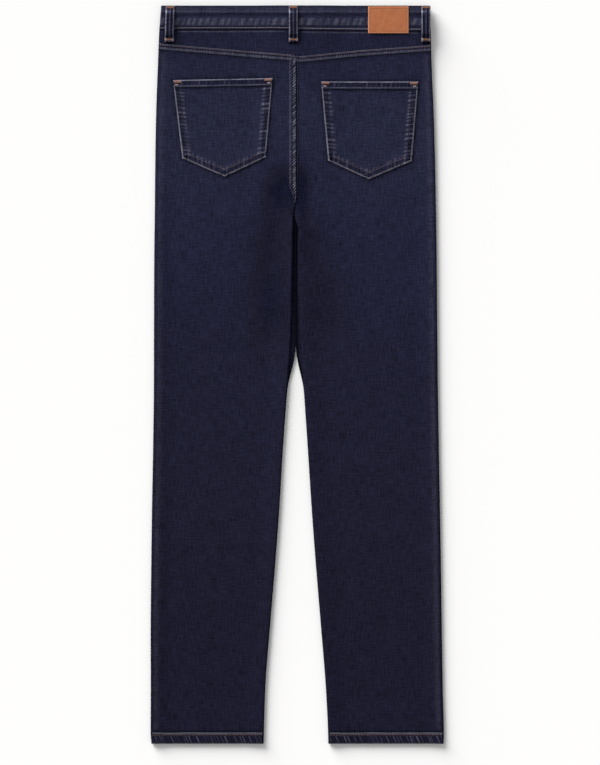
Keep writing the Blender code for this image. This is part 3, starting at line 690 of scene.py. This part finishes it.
def hemStrip(side):
    # The turned hem, with the diagonal roping that a hem stitch gives.
    width = hem["depth"]

    def pathAt(along, across):
        height = width - across + 0.35 * drift(along * 165, 30, 5) * (across < width - 1)
        a, b = inner(side, height), outer(side, height)
        low, high = (a, b) if side == "right" else (b, a)
        x = low + 2.2 + (high - low - 4.4) * along
        return x, height, x - across * 0.45

    def puckers(length, across):
        rope = ridges(length, hem["rope"], 21 if side == "left" else 22)
        lower = between(across, 4.4, 1.5, width - 0.6, 1.5)
        ledge = bump(across, 1.5, 1.1)
        channel = bump(across, 3.3, 0.7)
        # Rope tops worn paler, with painted shade between them and in the stitch channel; the ledge near
        # the top is paler
        return (0.7 * rope * lower - 0.25 * channel,
                (0.46 * rope - 0.22) * lower + 0.30 * ledge - 0.3 * channel)

    def finishWear(across, total):
        return 0.25 * bump(across, total - 0.5, 0.7) + 0.12 * bump(across, 0.3, 0.4)

    piece = strip("hem_back_" + side, 210, width, pathAt, lambda x, h: backFace(side, x, h),
                  hem["raise"], 16, puckers, finishWear)
    a, b = hemEnds(side)
    path = [(a + 2.5, hem["stitch"] - 0.2), (b - 2.5, hem["stitch"] + 0.1)]
    dulls.row(path, lambda x, h: backFace(side, x, h) + hem["raise"] - 0.1, long=3.6, pause=0.35,
              thick=0.75, seed=31)
    return piece


def centreStrip():
    # The felled seat seam, which is pulled into slanting puckers.
    width = centreFell["width"]
    low, high = centreFell["bottom"], centreFell["top"]

    def pathAt(along, across):
        height = low + (high - low) * along
        narrow = 1 - 0.8 * (1 - smooth((height - low) / centreFell["taper"]))
        x = inner("left", height) - (width - across) * narrow
        return x, height, height - across * 1.1

    def puckers(length, across):
        slant = np.minimum(1.8 * ridges(length, centreFell["pucker"], 41, 0.2), 1.0)
        slant = slant * between(across, 4.2, 1.6, width - 2.0, 1.4)
        left = ridges(length, centreFell["edgePucker"], 42) * bump(across, 2.4, 1.7)
        groove = bump(across, width - 2.2, 0.75)
        # Slant pucker tops paler, with painted shade between them and in the groove by the folded edge
        return (0.6 * slant + 0.3 * left - 0.3 * groove,
                1.15 * slant - 0.50 * smooth((across - 3.6) / 1.2) + 0.16 * left - 0.45 * groove
                + 0.04 * bump(across, 2.0, 1.8))

    def finishWear(across, total):
        return 0.66 * bump(across, total - 0.8, 0.8) + 0.06 * bump(across, 0.6, 0.8)

    return strip("fell_centre", 270, width, pathAt, lambda x, h: backFace("left", x, h),
                 centreFell["raise"], 16, puckers, finishWear)


def yokeStrip(side):
    width = yokeFell["width"]

    def pathAt(along, across):
        edge = outer(side, np.full_like(along, 1000.0))
        seam = inner(side, np.full_like(along, 985.0))
        low, high = (seam + 0.3, edge - 1.4) if side == "right" else (edge + 1.4, seam)
        x = low + (high - low) * along
        height = lineHeight(yokeLine, x) - across - 0.2
        return x, height, x + 0.25 * across

    def puckers(length, across):
        tick = ridges(length, yokeFell["tick"], 51 if side == "left" else 52)
        inside = between(across, 1.9, 0.8, width - 1.0, 1.2)
        # Tick tops paler; the dark line 3.5 mm in is painted shade in the stitch channel; a paler line
        # nearer the far edge
        return (0.3 * tick * inside - 0.22 * bump(across, 2.5, 0.6),
                (0.34 * tick - 0.04) * inside - 0.40 * bump(across, 3.5, 0.8)
                + 0.14 * bump(across, 6.6, 1.5))

    def finishWear(across, total):
        return 0.22 * bump(across, 0.8, 0.8) + 0.14 * bump(across, total - 0.7, 0.7)

    piece = strip("fell_yoke_" + side, 250, width, pathAt, lambda x, h: backFace(side, x, h),
                  yokeFell["raise"], 10, puckers, finishWear)
    xs = np.linspace(*yokeFell[side], 24)
    for down, kind, thick in ((2.5, dulls, 0.72), (6.6, navies, 0.6)):
        path = list(zip(xs, lineHeight(yokeLine, xs) - down))
        kind.row(path, lambda x, h: backFace(side, x, h) + yokeFell["raise"] - 0.15, long=2.3,
                 pause=1.0, thick=thick, seed=61)
    return piece


# Back pockets

pockets = {
    "left": ((-178.8, 954.8), (-35.2, 957.6), (-45.0, 843.8), (-104.6, 815.8), (-165.4, 842.3)),
    "right": ((34.3, 952.7), (174.4, 952.7), (165.2, 838.4), (102.9, 812.0), (44.4, 838.9)),
}
pocketLook = {
    "hem": 10.0, "channel": 8.0, "hemChannel": 8.2, "beyond": 10.6, "edge": 1.1, "line": 0.85,
    "puckerSide": 5.6, "puckerHem": 6.2, "edgeRow": 1.9, "innerRow": 7.9, "hemRows": (2.0, 8.4),
}


def edgeDistance(start, end, x, height):
    # Signed distance from a pocket's edge, above 0 inside (corners run clockwise).
    ux, uh = end[0] - start[0], end[1] - start[1]
    length = math.hypot(ux, uh)
    return ((x - start[0]) * uh - (height - start[1]) * ux) / length


def pocketShade(corners, x, height):
    loop = list(corners) + [corners[0]]
    inside = np.min([edgeDistance(a, b, x, height) for a, b in zip(loop, loop[1:])], axis=0)
    strength = 0.42 + 0.14 * (x > 0.5 * (corners[0][0] + corners[1][0]))
    return -strength * np.exp(-np.abs(inside + 1.2) / 1.6) * (inside < 1.0)


def pocketPiece(side):
    corners = [np.array(c) for c in pockets[side]]
    topLeft, topRight, lowRight, tip, lowLeft = corners
    near = np.array([0.0, 0.15, 0.45, 0.9, 1.5, 2.2, 3.0, 3.8, 4.6, 5.4, 6.2, 7.0, 7.8, 8.8, 9.9,
                     11.2, 12.6]) / 142.0
    u = np.concatenate([near, np.linspace(0.1, 0.9, 56), 1 - near[::-1]])
    v = np.concatenate([near * 1.15, np.linspace(0.12, 0.88, 66), 1 - near[::-1] * 1.05])

    def place(i, j):
        s, t = u[i], v[j]
        left = lowLeft[:, None] + (tip - lowLeft)[:, None] * np.clip(s * 2, 0, 1)
        low = left + (lowRight - tip)[:, None] * np.clip(s * 2 - 1, 0, 1)
        high = topLeft[:, None] + (topRight - topLeft)[:, None] * s
        x, height = low + (high - low) * t
        distances = [edgeDistance(a, b, x, height)
                     for a, b in zip(corners, corners[1:] + corners[:1])]
        top, rightSide, lowR, lowL, leftSide = [np.maximum(d, 0) for d in distances]
        edge = np.minimum.reduce([top, rightSide, lowR, lowL, leftSide])
        rounding = rounded(edge, pocketLook["edge"])
        inHem = smooth((pocketLook["hem"] + 0.6 - top) / 1.0)
        lift = garment["fell"] * inHem
        wearAndShade = np.zeros_like(x)
        below = 1 - smooth((pocketLook["hem"] + 1.5 - top) / 1.5)
        seeds = (71, 72, 73, 74) if side == "left" else (75, 76, 77, 78)
        # In each stitch channel the pucker tops are worn paler and painted shade lies between them; just
        # beyond it the puckers are paler
        for d, seed, strength in ((rightSide, seeds[0], 1.0), (leftSide, seeds[1], 0.8),
                                  (lowR, seeds[2], 0.55), (lowL, seeds[3], 0.55)):
            along = height + 0.1 * d if d is rightSide or d is leftSide else x
            pucker = ridges(along, pocketLook["puckerSide"], seed)
            channel = between(d, 1.4, 0.9, pocketLook["channel"], 1.2)
            beyond = bump(d, pocketLook["beyond"], 1.9)
            lift = lift + (0.42 * pucker - 0.3) * channel * strength * below
            lift = lift + 0.22 * pucker * beyond * strength * below
            wearAndShade = wearAndShade + (0.85 * pucker - 0.52) * channel * below * (0.5 + 0.5 * strength)
            wearAndShade = wearAndShade + (0.62 * pucker - 0.10) * beyond * strength * below
        hemPucker = ridges(x + 0.1 * top, pocketLook["puckerHem"], 81 if side == "left" else 82)
        inChannel = between(top, 1.6, 0.8, pocketLook["hemChannel"], 1.0)
        lift = lift + (0.4 * hemPucker - 0.25) * inChannel
        wearAndShade = wearAndShade + (0.62 * hemPucker - 0.40) * inChannel
        # Painted shadow just below the pocket's hem band, with a paler line just inside it; the pale
        # edge line and corners are worn cloth
        wearAndShade = wearAndShade - 0.6 * bump(top, pocketLook["hem"] + 1.6, 1.0) + 0.42 * bump(top, 9.3, 0.8)
        line = 0.60 + 0.2 * drift(x + height, 9.0, 83)
        wearAndShade = wearAndShade + line * bump(edge, pocketLook["line"], 0.75)
        for corner in corners[1:]:
            far = np.hypot(x - corner[0], height - corner[1])
            wearAndShade = wearAndShade + 0.45 * bump(far, 0, 2.6)
        level = backFace(side, x, height) + garment["gap"] - 0.1
        level = level + (garment["denim"] + lift) * rounding
        return x, height, level, wearAndShade, fadeAndShade(x, height) + 0.02

    piece = layCloth("cloth_pocket_" + side, len(u), len(v), place, garment["denim"] - 0.3, "down")

    def onPocket(x, height):
        return backFace(side, x, height) + garment["gap"] + garment["denim"] - 0.2

    middle = 0.2 * sum(corners)

    def inset(distance):
        return [c + (middle - c) / np.hypot(*(middle - c)) * distance * 1.25 for c in corners]

    rowA, rowB = inset(pocketLook["edgeRow"]), inset(pocketLook["innerRow"])
    greys.row(rowA[1:] + rowA[:1], onPocket, long=2.4, pause=0.7, thick=0.5, seed=84)
    dulls.row(rowB[2:], onPocket, long=2.3, pause=1.1, thick=0.55, seed=85)
    navies.row([rowB[1] - (0, 12), rowB[2]], onPocket, long=2.4, pause=1.0, thick=0.55, seed=86)
    navies.row([rowB[4], rowB[0] - (0, 12)], onPocket, long=2.4, pause=1.0, thick=0.55, seed=87)
    for down in pocketLook["hemRows"]:
        path = [topLeft + (8.0, -down), topRight + (-8.0, -down)]
        navies.row(path, lambda x, h: onPocket(x, h) + 0.55, long=2.4, pause=0.9, thick=0.5, seed=88)
    for corner, ahead in ((topLeft, 1), (topRight, -1)):
        coppers.tack(corner[0] + ahead * 6.8, corner[1] - 2.6,
                     lambda x, h: onPocket(x, h) + 0.8, 10.0, 3.6)
        greys.tack(corner[0] + ahead * 5.4, corner[1] - 7.0,
                   lambda x, h: onPocket(x, h) + 0.6, 4.6, 2.6)
    return piece


# Back yokes

def yokePiece(side):
    columns = spread(120)
    total = len(columns["share"])
    part = np.linspace(0.0, 1.0, 30)

    def place(i, j):
        i = mirrored(side, total, i)
        x = np.zeros(len(i))
        for _ in range(4):
            low = lineHeight(yokeLine, x)
            height = low + (lineHeight(bandLine, x) - garment["gap"] - low) * part[j]
            amount = np.where(columns["share"][i] < 0.5, 0.0, 1.0)
            x = columnX(columns, i, inner(side, height), outer(side, height), amount)
        face = backFace(side, x, height)
        level = foldDown(columns, i, face, seamLevel("sideFold", height) + 0.15, amount)
        fromBand = lineHeight(bandLine, x) - height
        soft = ridges(x + 0.5 * height, 19.0, 91 if side == "left" else 92)
        level = level + 0.25 * soft * bump(fromBand, 7, 6)
        # Painted shadow just under the waistband, along the yoke seam, at the side fold and under the
        # belt loops; a paler line 3 mm below the band
        wearAndShade = -0.5 * bump(fromBand, 0.2, 1.3) + 0.2 * bump(fromBand, 2.9, 0.8)
        wearAndShade = wearAndShade - 0.25 * bump(height - lineHeight(yokeLine, x), 0, 1.2)
        wearAndShade = wearAndShade - 0.4 * bump(np.abs(x - outer(side, height)), 0, 1.6)
        for loop in backLoops.values():
            nearLoop = bump(np.abs(x - loop["x"]), 0, 8.4) * smooth((height - 1004) / 4.0)
            wearAndShade = wearAndShade - 0.55 * nearLoop
        return x, height, level, wearAndShade, fadeAndShade(x, height)

    return layCloth("cloth_yoke_" + side, total, len(part), place, garment["denim"], "down")


# Waistband and belt loops

backLoops = {
    "left": {"x": -183.0, "lean": -1.6, "seed": 101},
    "center": {"x": -5.5, "lean": 0.0, "seed": 102},
    "right": {"x": 185.0, "lean": 0.0, "seed": 103},
}
loopLook = {
    "width": 12.8, "length": 52.0, "foot": 5.0, "rise": 7.0, "clearance": 4.4, "wall": 1.7,
    "edge": 1.1, "pucker": 5.2, "grooves": (0.27, 0.70), "frontWall": 1.8,
}


def bandFace(x):
    top = garment["bandSideTop"]
    return top + (garment["bandCentreTop"] - top) * overFly(x)


bandLook = {
    "steps": 330, "edge": 1.1, "pucker": 10.5, "fine": 4.2, "ridge": 9.2, "trough": 14.2,
    "groove": 31.0, "fadeAndShade": 0.93, "highest": 0.35,
}


def bandPiece(name, low, high, lowAt, highAt, faceAt, inwards, seed):
    count = bandLook["steps"]
    s = np.linspace(0.0, 1.0, count)
    t = np.concatenate([[0.0, 0.006, 0.02, 0.045], np.linspace(0.07, 0.94, 34),
                        [0.965, 0.985, 0.995, 1.0]])

    def place(i, j):
        part, along = t[j], s[i]
        x = low(part) + (high(part) - low(part)) * along
        height = lowAt(x) + (highAt(x) - lowAt(x)) * part
        span = highAt(x) - lowAt(x)
        down = (1 - part) * span
        edge = np.minimum.reduce([down, part * span, (x - low(part)), (high(part) - x)])
        rounding = rounded(edge, bandLook["edge"])
        pucker = ridges(x + 0.35 * down, bandLook["pucker"], seed)
        fine = ridges(x - 0.2 * down, bandLook["fine"], seed + 1)
        lower = between(down, 17.0, 3.0, 29.5, 2.0)
        trough = bump(down, bandLook["trough"] + 0.8 * drift(x, 40, seed + 2), 2.4)
        edgeGroove = bump(down, bandLook["groove"], 1.1)
        lift = (0.40 * pucker + 0.14 * fine) * lower - 0.5 * trough - 0.3 * edgeGroove
        lift = lift + 0.25 * bump(down, bandLook["ridge"], 1.6) + 0.25 * bump(down, span - 1.6, 1.0)
        # Pucker tops and the ridge paler; painted shade in the crease trough, the groove near the lower
        # edge and along the rolled top edge
        wearAndShade = (0.20 * pucker + 0.06 * fine) * lower - 0.22 * trough - 0.26 * edgeGroove
        wearAndShade = wearAndShade + 0.14 * bump(down, bandLook["ridge"], 0.9) + 0.05 * bump(down, 5.5, 2.5)
        wearAndShade = wearAndShade - 0.35 * bump(down, 0.3, 0.8) + 0.10 * bump(down, span - 2.0, 1.2)
        sign = 1.0 if inwards == "down" else -1.0
        level = faceAt(x) + sign * (np.minimum(lift, bandLook["highest"]) - (1 - rounding))
        return x, height, level, wearAndShade, bandLook["fadeAndShade"] + 0.06 * drift(x, 30, seed + 3)

    return layCloth(name, count, len(t), place, garment["band"] - 0.2, inwards)


def sideOf(side):
    foot, top = (outer(side, np.array([h]))[0] for h in (1028.0, garment["length"]))
    return lambda part: foot + (top - foot) * part


def backBand():
    piece = bandPiece("cloth_band_back", sideOf("left"), sideOf("right"),
                      lambda x: lineHeight(bandLine, x), lambda x: x * 0 + garment["length"],
                      bandFace, "down", 111)
    xs = np.linspace(-197.0, 190.5, 60)
    greys.row(list(zip(xs, lineHeight(bandLine, xs) + 2.3)), lambda x, h: bandFace(x) + 0.2,
              long=3.7, pause=0.25, thick=0.8, seed=112)
    navies.row(list(zip(xs, xs * 0 + garment["length"] - 2.6)), lambda x, h: bandFace(x),
               long=2.8, pause=0.7, thick=0.55, seed=113)
    return piece


bandEnds = {"lap": 10.5, "underlap": -19.5}     # x where the front bands end past the fly


def bandLow(x):
    return lineHeight(bandLine, x) - frontDip(x)


def bandHigh(x):
    return garment["length"] - frontDip(x)


def underlapFace(x):
    # The right front band lies one band higher under the lap, and comes down beside it.
    behind = 1 - smooth((x - garment["frontSeam"] - 16.0) / 20.0)
    return garment["bandFront"] + (garment["band"] + garment["gap"]) * behind


def loopPiece(side):
    look = backLoops[side]
    t = np.concatenate([np.linspace(0, 14, 22), np.linspace(14.5, 37.5, 26), np.linspace(38, 52, 22)])
    a = np.array([0, 0.02, 0.06, 0.11, 0.17, 0.24, 0.31, 0.37, 0.43, 0.5, 0.57, 0.63, 0.69, 0.76,
                  0.83, 0.89, 0.94, 0.98, 1.0])
    top = garment["length"] - 0.4
    high = bandFace(np.array([look["x"]]))[0] + loopLook["clearance"]

    def footLevel(height):
        onBand = bandFace(np.array([look["x"]]))[0] + garment["gap"]
        cloth = backFace("left" if look["x"] < 0 else "right", np.full_like(height, look["x"]), height)
        return np.where(height > 1023, onBand, cloth + 0.35)

    def place(i, j):
        across, down = a[i], t[j]
        height = top - down
        fromEnd = np.minimum(down, loopLook["length"] - down)
        lift = smooth((fromEnd - loopLook["foot"]) / loopLook["rise"])
        foot = footLevel(height)
        base = foot + (high - foot) * lift
        edge = np.minimum(across, 1 - across) * loopLook["width"]
        rounding = rounded(edge, loopLook["edge"])
        flare = 1 + 0.05 * bump(down, 48, 6) + 0.05 * bump(down, 3, 5)
        x = look["x"] + (across - 0.5) * loopLook["width"] * flare
        x = x + look["lean"] * (down / loopLook["length"] - 0.3)
        rough = ridges(down + 1.5 * across, loopLook["pucker"], look["seed"])
        grooves = sum(bump(across, at, 0.055) for at in loopLook["grooves"])
        pale = bump(across, 0.07, 0.07) * 0.8 + bump(across, 0.93, 0.06) * 0.8
        pale = pale + bump(across, 0.52, 0.06) * 0.42
        level = base + loopLook["wall"] * rounding - 0.35 * grooves + 0.3 * rough * (0.5 - grooves * 0.4)
        # Folded edges worn pale, painted shade in the stitch grooves, a painted highlight on the left
        # half of the loop's upper bulge where the light falls, and the whole loop a little darker
        wearAndShade = pale * (0.75 + 0.6 * rough) - 0.55 * grooves + 0.5 * bump(down, 9, 2.5) * (across < 0.4)
        wearAndShade = wearAndShade - 0.18
        return x, height, level, wearAndShade, np.full_like(x, 1.0)

    piece = layCloth("cloth_loop_" + side, len(a), len(t), place, loopLook["wall"], "down")

    def levelAt(x, height):
        return footLevel(height) + loopLook["wall"] - 0.3

    lean = look["lean"]
    coppers.tack(look["x"] - 0.3 * lean, top - 2.4, levelAt, 10.4, 3.6)
    coppers.tack(look["x"] + 0.7 * lean, top - 48.6, levelAt, 8.0, 3.4)
    for offset in (-5.0, 5.0):
        greys.tack(look["x"] + 0.7 * lean + offset, top - 48.8, levelAt, 3.2, 4.2)
    return piece


# Leather patch, left bare

patchLook = {"left": 102.0, "right": 160.4, "bottom": 1021.8, "top": 1060.6, "wall": 1.3,
             "stitch": 2.9}


def patchSteps(size, count):
    # Points across the patch, close together at its edges.
    near = np.array([0, 0.15, 0.4, 0.8])
    return np.concatenate([near, np.linspace(1.4, size - 1.4, count), size - near[::-1]])


def patchPiece():
    width, depth = patchLook["right"] - patchLook["left"], patchLook["top"] - patchLook["bottom"]
    wide, tall = patchSteps(width, 62), patchSteps(depth, 42)

    def place(i, j):
        x, height = patchLook["left"] + wide[i], patchLook["bottom"] + tall[j]
        edge = np.minimum.reduce([wide[i], width - wide[i], tall[j], depth - tall[j]])
        rounding = rounded(edge, 0.8)
        groove = bump(edge, patchLook["stitch"], 0.5)
        fold = 0.12 * bump(wide[i] - 0.4 * tall[j], 16, 3) - 0.1 * bump(wide[i] + 0.3 * tall[j], 48, 4)
        level = garment["bandSideTop"] + garment["gap"] + patchLook["wall"] * rounding
        level = level - 0.18 * groove + fold
        lowSide = np.minimum(tall[j], np.minimum(width - wide[i], wide[i]))
        # Edges worn pale; painted shade in the stitch groove, and the folds painted lighter on their
        # ridges and darker in their troughs
        wearAndShade = 0.55 * bump(lowSide, 0.6, 0.8) - 0.22 * groove + 0.2 * fold
        return x, height, level, wearAndShade, x * 0

    piece = layCloth("leather_patch", len(wide), len(tall), place, patchLook["wall"] - 0.1, "down",
                     leather)
    left, low = patchLook["left"] + patchLook["stitch"], patchLook["bottom"] + patchLook["stitch"]
    right, high = patchLook["right"] - patchLook["stitch"], patchLook["top"] - patchLook["stitch"]
    rust = Threadwork()
    rust.row([(left, low), (right, low), (right, high), (left, high), (left, low)],
             lambda x, h: x * 0 + garment["bandSideTop"] + garment["gap"] + patchLook["wall"] - 0.2,
             long=1.9, pause=1.0, thick=0.5, seed=121)
    rust.make("stitch_patch", copperThread, "thread")
    return piece


# Front panels, facings and the stitches under them

frontLook = {"scoopWidth": 98.0, "scoopDepth": 74.0, "flyBottom": 880.0, "flyRun": 12.0,
             "lap": 8.0, "under": 4.0, "meetFrom": 500.0, "meetTo": 774.0, "rows": (2.2, 8.2),
             "flyTop": 1003.0, "flyRows": ((-34.0, 893.0), (-28.5, 896.0))}


def frontInner(side, height):
    lapped = smooth((height - frontLook["flyBottom"]) / frontLook["flyRun"])
    lap = frontLook["lap"] if side == "left" else -frontLook["under"]
    edge = read(outlineTable, side + "Inner", height) + lap * lapped
    # between the thighs the front's inseams nearly touch
    close = between(height, frontLook["meetFrom"], 80.0, frontLook["meetTo"], 6.0)
    middle = 0.5 * (read(outlineTable, "leftInner", height) + read(outlineTable, "rightInner", height))
    meet = middle + (0.01 if side == "right" else -0.01)
    return edge + (meet - edge) * close * smooth((15.0 - np.abs(edge - middle)) / 6.0)


def frontFace(side, x, height):
    face = read(layerTable, "front", height)
    if side == "left":
        return face
    behind = 1 - smooth((x - garment["frontSeam"] - frontLook["lap"] - 1.5) / 6.0)
    early = frontLook["flyBottom"] - frontLook["flyRun"] - 2.0
    return face + (garment["denim"] + garment["gap"]) * behind * smooth(
        (height - early) / frontLook["flyRun"])


def frontTop(side, x):
    waist = lineHeight(bandLine, x) - frontDip(x) - 0.6
    away = np.abs(x - outer(side, garment["length"] - frontLook["scoopDepth"] + x * 0))
    arc = np.sqrt(np.clip(1 - (away / frontLook["scoopWidth"]) ** 2, 0, 1))
    return waist - frontLook["scoopDepth"] * arc


def frontPanel(side):
    columns = spread(46)
    total = len(columns["share"])
    rows = np.concatenate([np.linspace(0, 860, 170), np.linspace(860, 1000, 60)[1:]])

    def place(i, j):
        i = mirrored(side, total, i)
        x, height, top, amount = settle(columns, i, rows[j], side, frontInner, frontTop, 860.0, 4)
        seam = foldSeam(columns, i, height) - 0.5 * garment["gap"]
        level = foldDown(columns, i, frontFace(side, x, height), seam, amount)
        fromTop = top - height
        # Pale edges as worn cloth; painted shade in the lines below the scoop edge and above the hem and
        # along the inseam edge that shows through the crotch gap; whiskers are faded dye
        wearAndShade = 0.3 * bump(fromTop, 0.8, 0.9) - 0.25 * bump(fromTop, 4.5, 1.5)
        hemZone = ridges(x - height, 6.4, 131) * smooth((11 - height) / 2.0)
        wearAndShade = wearAndShade + 0.22 * hemZone - 0.12 * smooth((11 - height) / 2.0)
        wearAndShade = wearAndShade + 0.3 * bump(height, 14.5, 1.2) - 0.3 * bump(height, 16.6, 1.0)
        shy = between(height, 480.0, 90.0, 760.0, 10.0)
        wearAndShade = wearAndShade - 0.6 * bump(np.abs(x - frontInner(side, height)), 0, 3.0) * shy
        whisker = ridges(height + 0.35 * np.abs(x), 17.0, 132) * bump(height, 760, 40)
        wearAndShade = wearAndShade + 0.07 * whisker * smooth((130 - np.abs(x)) / 50.0)
        return x, height, level, wearAndShade, fadeAndShade(x, height)

    piece = layCloth("cloth_front_" + side, total, len(rows), place, garment["denim"], "up")
    ahead = 1 if side == "left" else -1
    edge = outer(side, np.array([950.0]))[0]
    for down in frontLook["rows"]:
        angles = np.linspace(3, 86, 30)
        xs = edge + ahead * frontLook["scoopWidth"] * np.cos(np.radians(90 - angles))
        xs = np.clip(xs, min(edge, edge + ahead * 97), max(edge, edge + ahead * 97))
        path = list(zip(xs + ahead * 0.5 * down, frontTop(side, xs) - down))
        under.row(path, lambda x, h: -read(layerTable, "front", h), long=2.7, pause=0.7, seed=133)
    a, b = hemEnds(side)
    under.row([(a + 3, hem["stitch"]), (b - 3, hem["stitch"])], lambda x, h: x * 0, long=3.2,
              pause=0.5, seed=134)
    return piece


facingLook = {"start": 2.9, "width": 111.1, "below": 16.0, "level": 1.65, "wall": 1.0, "fadeAndShade": 0.6}


def facingPiece(side):
    # The cloth that shows inside a scooped pocket mouth.
    ahead = 1 if side == "left" else -1

    def place(i, j):
        x = outer(side, np.full(len(i), 980.0))
        for _ in range(4):
            high = lineHeight(bandLine, x) - frontDip(x) - 0.6
            low = lineHeight(bandLine, x) - frontLook["scoopDepth"] - facingLook["below"]
            height = low + (high - low) * j / 49
            x = outer(side, height) + ahead * (facingLook["start"] + facingLook["width"] * i / 49)
        level = read(layerTable, "front", height) + facingLook["level"]
        return x, height, level, 0.0 * x, np.full_like(x, facingLook["fadeAndShade"])

    return layCloth("cloth_facing_" + side, 50, 50, place, facingLook["wall"], "up")


def plainPiece(name, wall, lowX, highX, lowH, highH, levelAt, count=(40, 60)):
    # A plain rectangle of denim with a worn edge, on the underside.
    s, t = (np.linspace(0, 1, n) for n in count)

    def place(i, j):
        x, height = lowX + (highX - lowX) * s[i], lowH + (highH - lowH) * t[j]
        edge = np.minimum.reduce([x - lowX, highX - x, height - lowH, highH - height])
        wearAndShade = 0.25 * bump(edge, 0.5, 0.7) - 0.12 * bump(edge, 3.0, 1.0)
        return x, height, levelAt(x, height), wearAndShade, np.full_like(x, 0.6)

    return layCloth(name, len(s), len(t), place, wall, "up")


frontLoops = {"left": -112.0, "right": 104.0}       # x of each loop's middle


def frontLoopPiece(side):
    x, half = frontLoops[side], 0.5 * loopLook["width"]
    high = float(garment["length"] - frontDip(np.array([x]))[0] - 0.5)
    return plainPiece("cloth_loop_front_" + side, loopLook["frontWall"], x - half,
                      x + half, high - loopLook["length"], high, lambda px, h: px * 0, (16, 50))


def flyStitches():
    # Two rows down the fly that turn in at its foot.
    turn = np.radians(np.linspace(0.0, 90.0, 8))
    for start, low in frontLook["flyRows"]:
        bend = list(zip(start + 24 * (1 - np.cos(turn)), low + 6 - 20 * np.sin(turn)))
        under.row([(start, frontLook["flyTop"])] + bend,
                  lambda x, h: -read(layerTable, "front", h), seed=151)


# Building the garment

for side in ("left", "right"):
    panel = backPanel(side)
    extras = [hemStrip(side), yokeStrip(side)]
    if side == "left":
        extras.append(centreStrip())
    joinTo(panel, extras)
    declare(panel, ["back_" + side])
    print("back panel", side)
    pocket = pocketPiece(side)
    declare(pocket, ["back_pocket_" + side])
    yokeCloth = yokePiece(side)
    declare(yokeCloth, ["yoke_" + side])
    panel = frontPanel(side)
    declare(panel, ["front_" + side])
    print("pocket, yoke and front", side)

band = backBand()
declare(band, ["waistband_back"])
leftBand = bandPiece("cloth_band_left", sideOf("left"), lambda part: bandEnds["lap"] + 0 * part,
                     bandLow, bandHigh, lambda x: x * 0 + garment["bandFront"], "up", 141)
declare(leftBand, ["waistband_front_left"])
rightBand = bandPiece("cloth_band_right", lambda part: bandEnds["underlap"] + 0 * part,
                      sideOf("right"), bandLow, bandHigh, underlapFace, "up", 145)
declare(rightBand, ["waistband_front_right"])
for side in backLoops:
    loop = loopPiece(side)
    declare(loop, ["loop_back_" + side])
print("waistband and loops")

patchCloth = patchPiece()
declare(patchCloth, ["patch"])

for side in frontLoops:
    loop = frontLoopPiece(side)
    declare(loop, ["loop_front_" + side])

for side in ("left", "right"):
    facing = facingPiece(side)
    declare(facing, ["pocket_facing_" + side])

shieldLow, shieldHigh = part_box("fly_shield")
shieldStart, shieldEnd = (float(corner[1]) / mm + 0.5 * garment["length"]
                          for corner in (shieldLow, shieldHigh))
shield = plainPiece("cloth_shield", garment["denim"], float(shieldLow[0]) / mm,
                    float(shieldHigh[0]) / mm, shieldStart, shieldEnd,
                    lambda x, h: read(layerTable, "front", h) + 4.4)
declare(shield, ["fly_shield"])
flyStitches()
print("facings and fly shield")

coppers.make("stitches_copper", copperThread, "thread")
greys.make("stitches_grey", greyThread, "thread_grey")
navies.make("stitches_navy", navyThread, "thread")
dulls.make("stitches_dull", dullThread, "thread")
under.make("stitches_under", copperThread, "thread")
print("stitches")

# CAD pieces whose shape is right keep their place and get a real finish
tapeFinish = threadFinish("tape", (0.016, 0.016, 0.03), (0.008, 0.008, 0.016))
for name, finish in (("button", copper), ("zip_slider", copper), ("zip", tapeFinish)):
    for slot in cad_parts[name].material_slots:
        slot.material = finish


# Floor, light and camera

studio = {
    "cameraX": 0.004, "cameraY": -0.0112, "cameraHeight": 6.0, "viewWidth": 0.864,
    "sunTurn": 126.0, "sunTilt": 73.0, "sunSpread": 42.0, "sunPower": 6.8, "fill": 0.47,
    "floor": (0.90, 0.895, 0.89),
}

bpy.ops.object.select_all(action="DESELECT")
bpy.ops.mesh.primitive_plane_add(size=12.0, location=(0.0, 0.0, -0.0006))
floor = bpy.context.object
floor.name = "floor"
floorPaper, _, floorShader = makeNodes("paper")
floorShader.inputs["Base Color"].default_value = (*studio["floor"], 1.0)
floorShader.inputs["Roughness"].default_value = 0.9
floorShader.inputs["Specular IOR Level"].default_value = 0.0
floor.data.materials.append(floorPaper)

bpy.ops.object.light_add(type="SUN", location=(-1.0, 1.0, 2.0))
sun = bpy.context.object
sun.rotation_euler = (math.radians(studio["sunTilt"]), 0.0, math.radians(studio["sunTurn"] + 90.0))
sun.data.angle = math.radians(studio["sunSpread"])
sun.data.energy = studio["sunPower"]

world = bpy.data.worlds.new("studio")
world.use_nodes = True
world.node_tree.nodes["Background"].inputs[0].default_value = (1.0, 1.0, 1.0, 1.0)
world.node_tree.nodes["Background"].inputs[1].default_value = studio["fill"]
bpy.context.scene.world = world

bpy.ops.object.camera_add(location=(studio["cameraX"], studio["cameraY"], studio["cameraHeight"]))
camera = bpy.context.object
camera.data.sensor_fit = "HORIZONTAL"
camera.data.sensor_width = 36.0
camera.data.lens = 36.0 * studio["cameraHeight"] / studio["viewWidth"]
camera.data.clip_end = 50.0
bpy.context.scene.camera = camera
bpy.context.scene.view_settings.view_transform = "Standard"
bpy.context.scene.view_settings.look = "None"
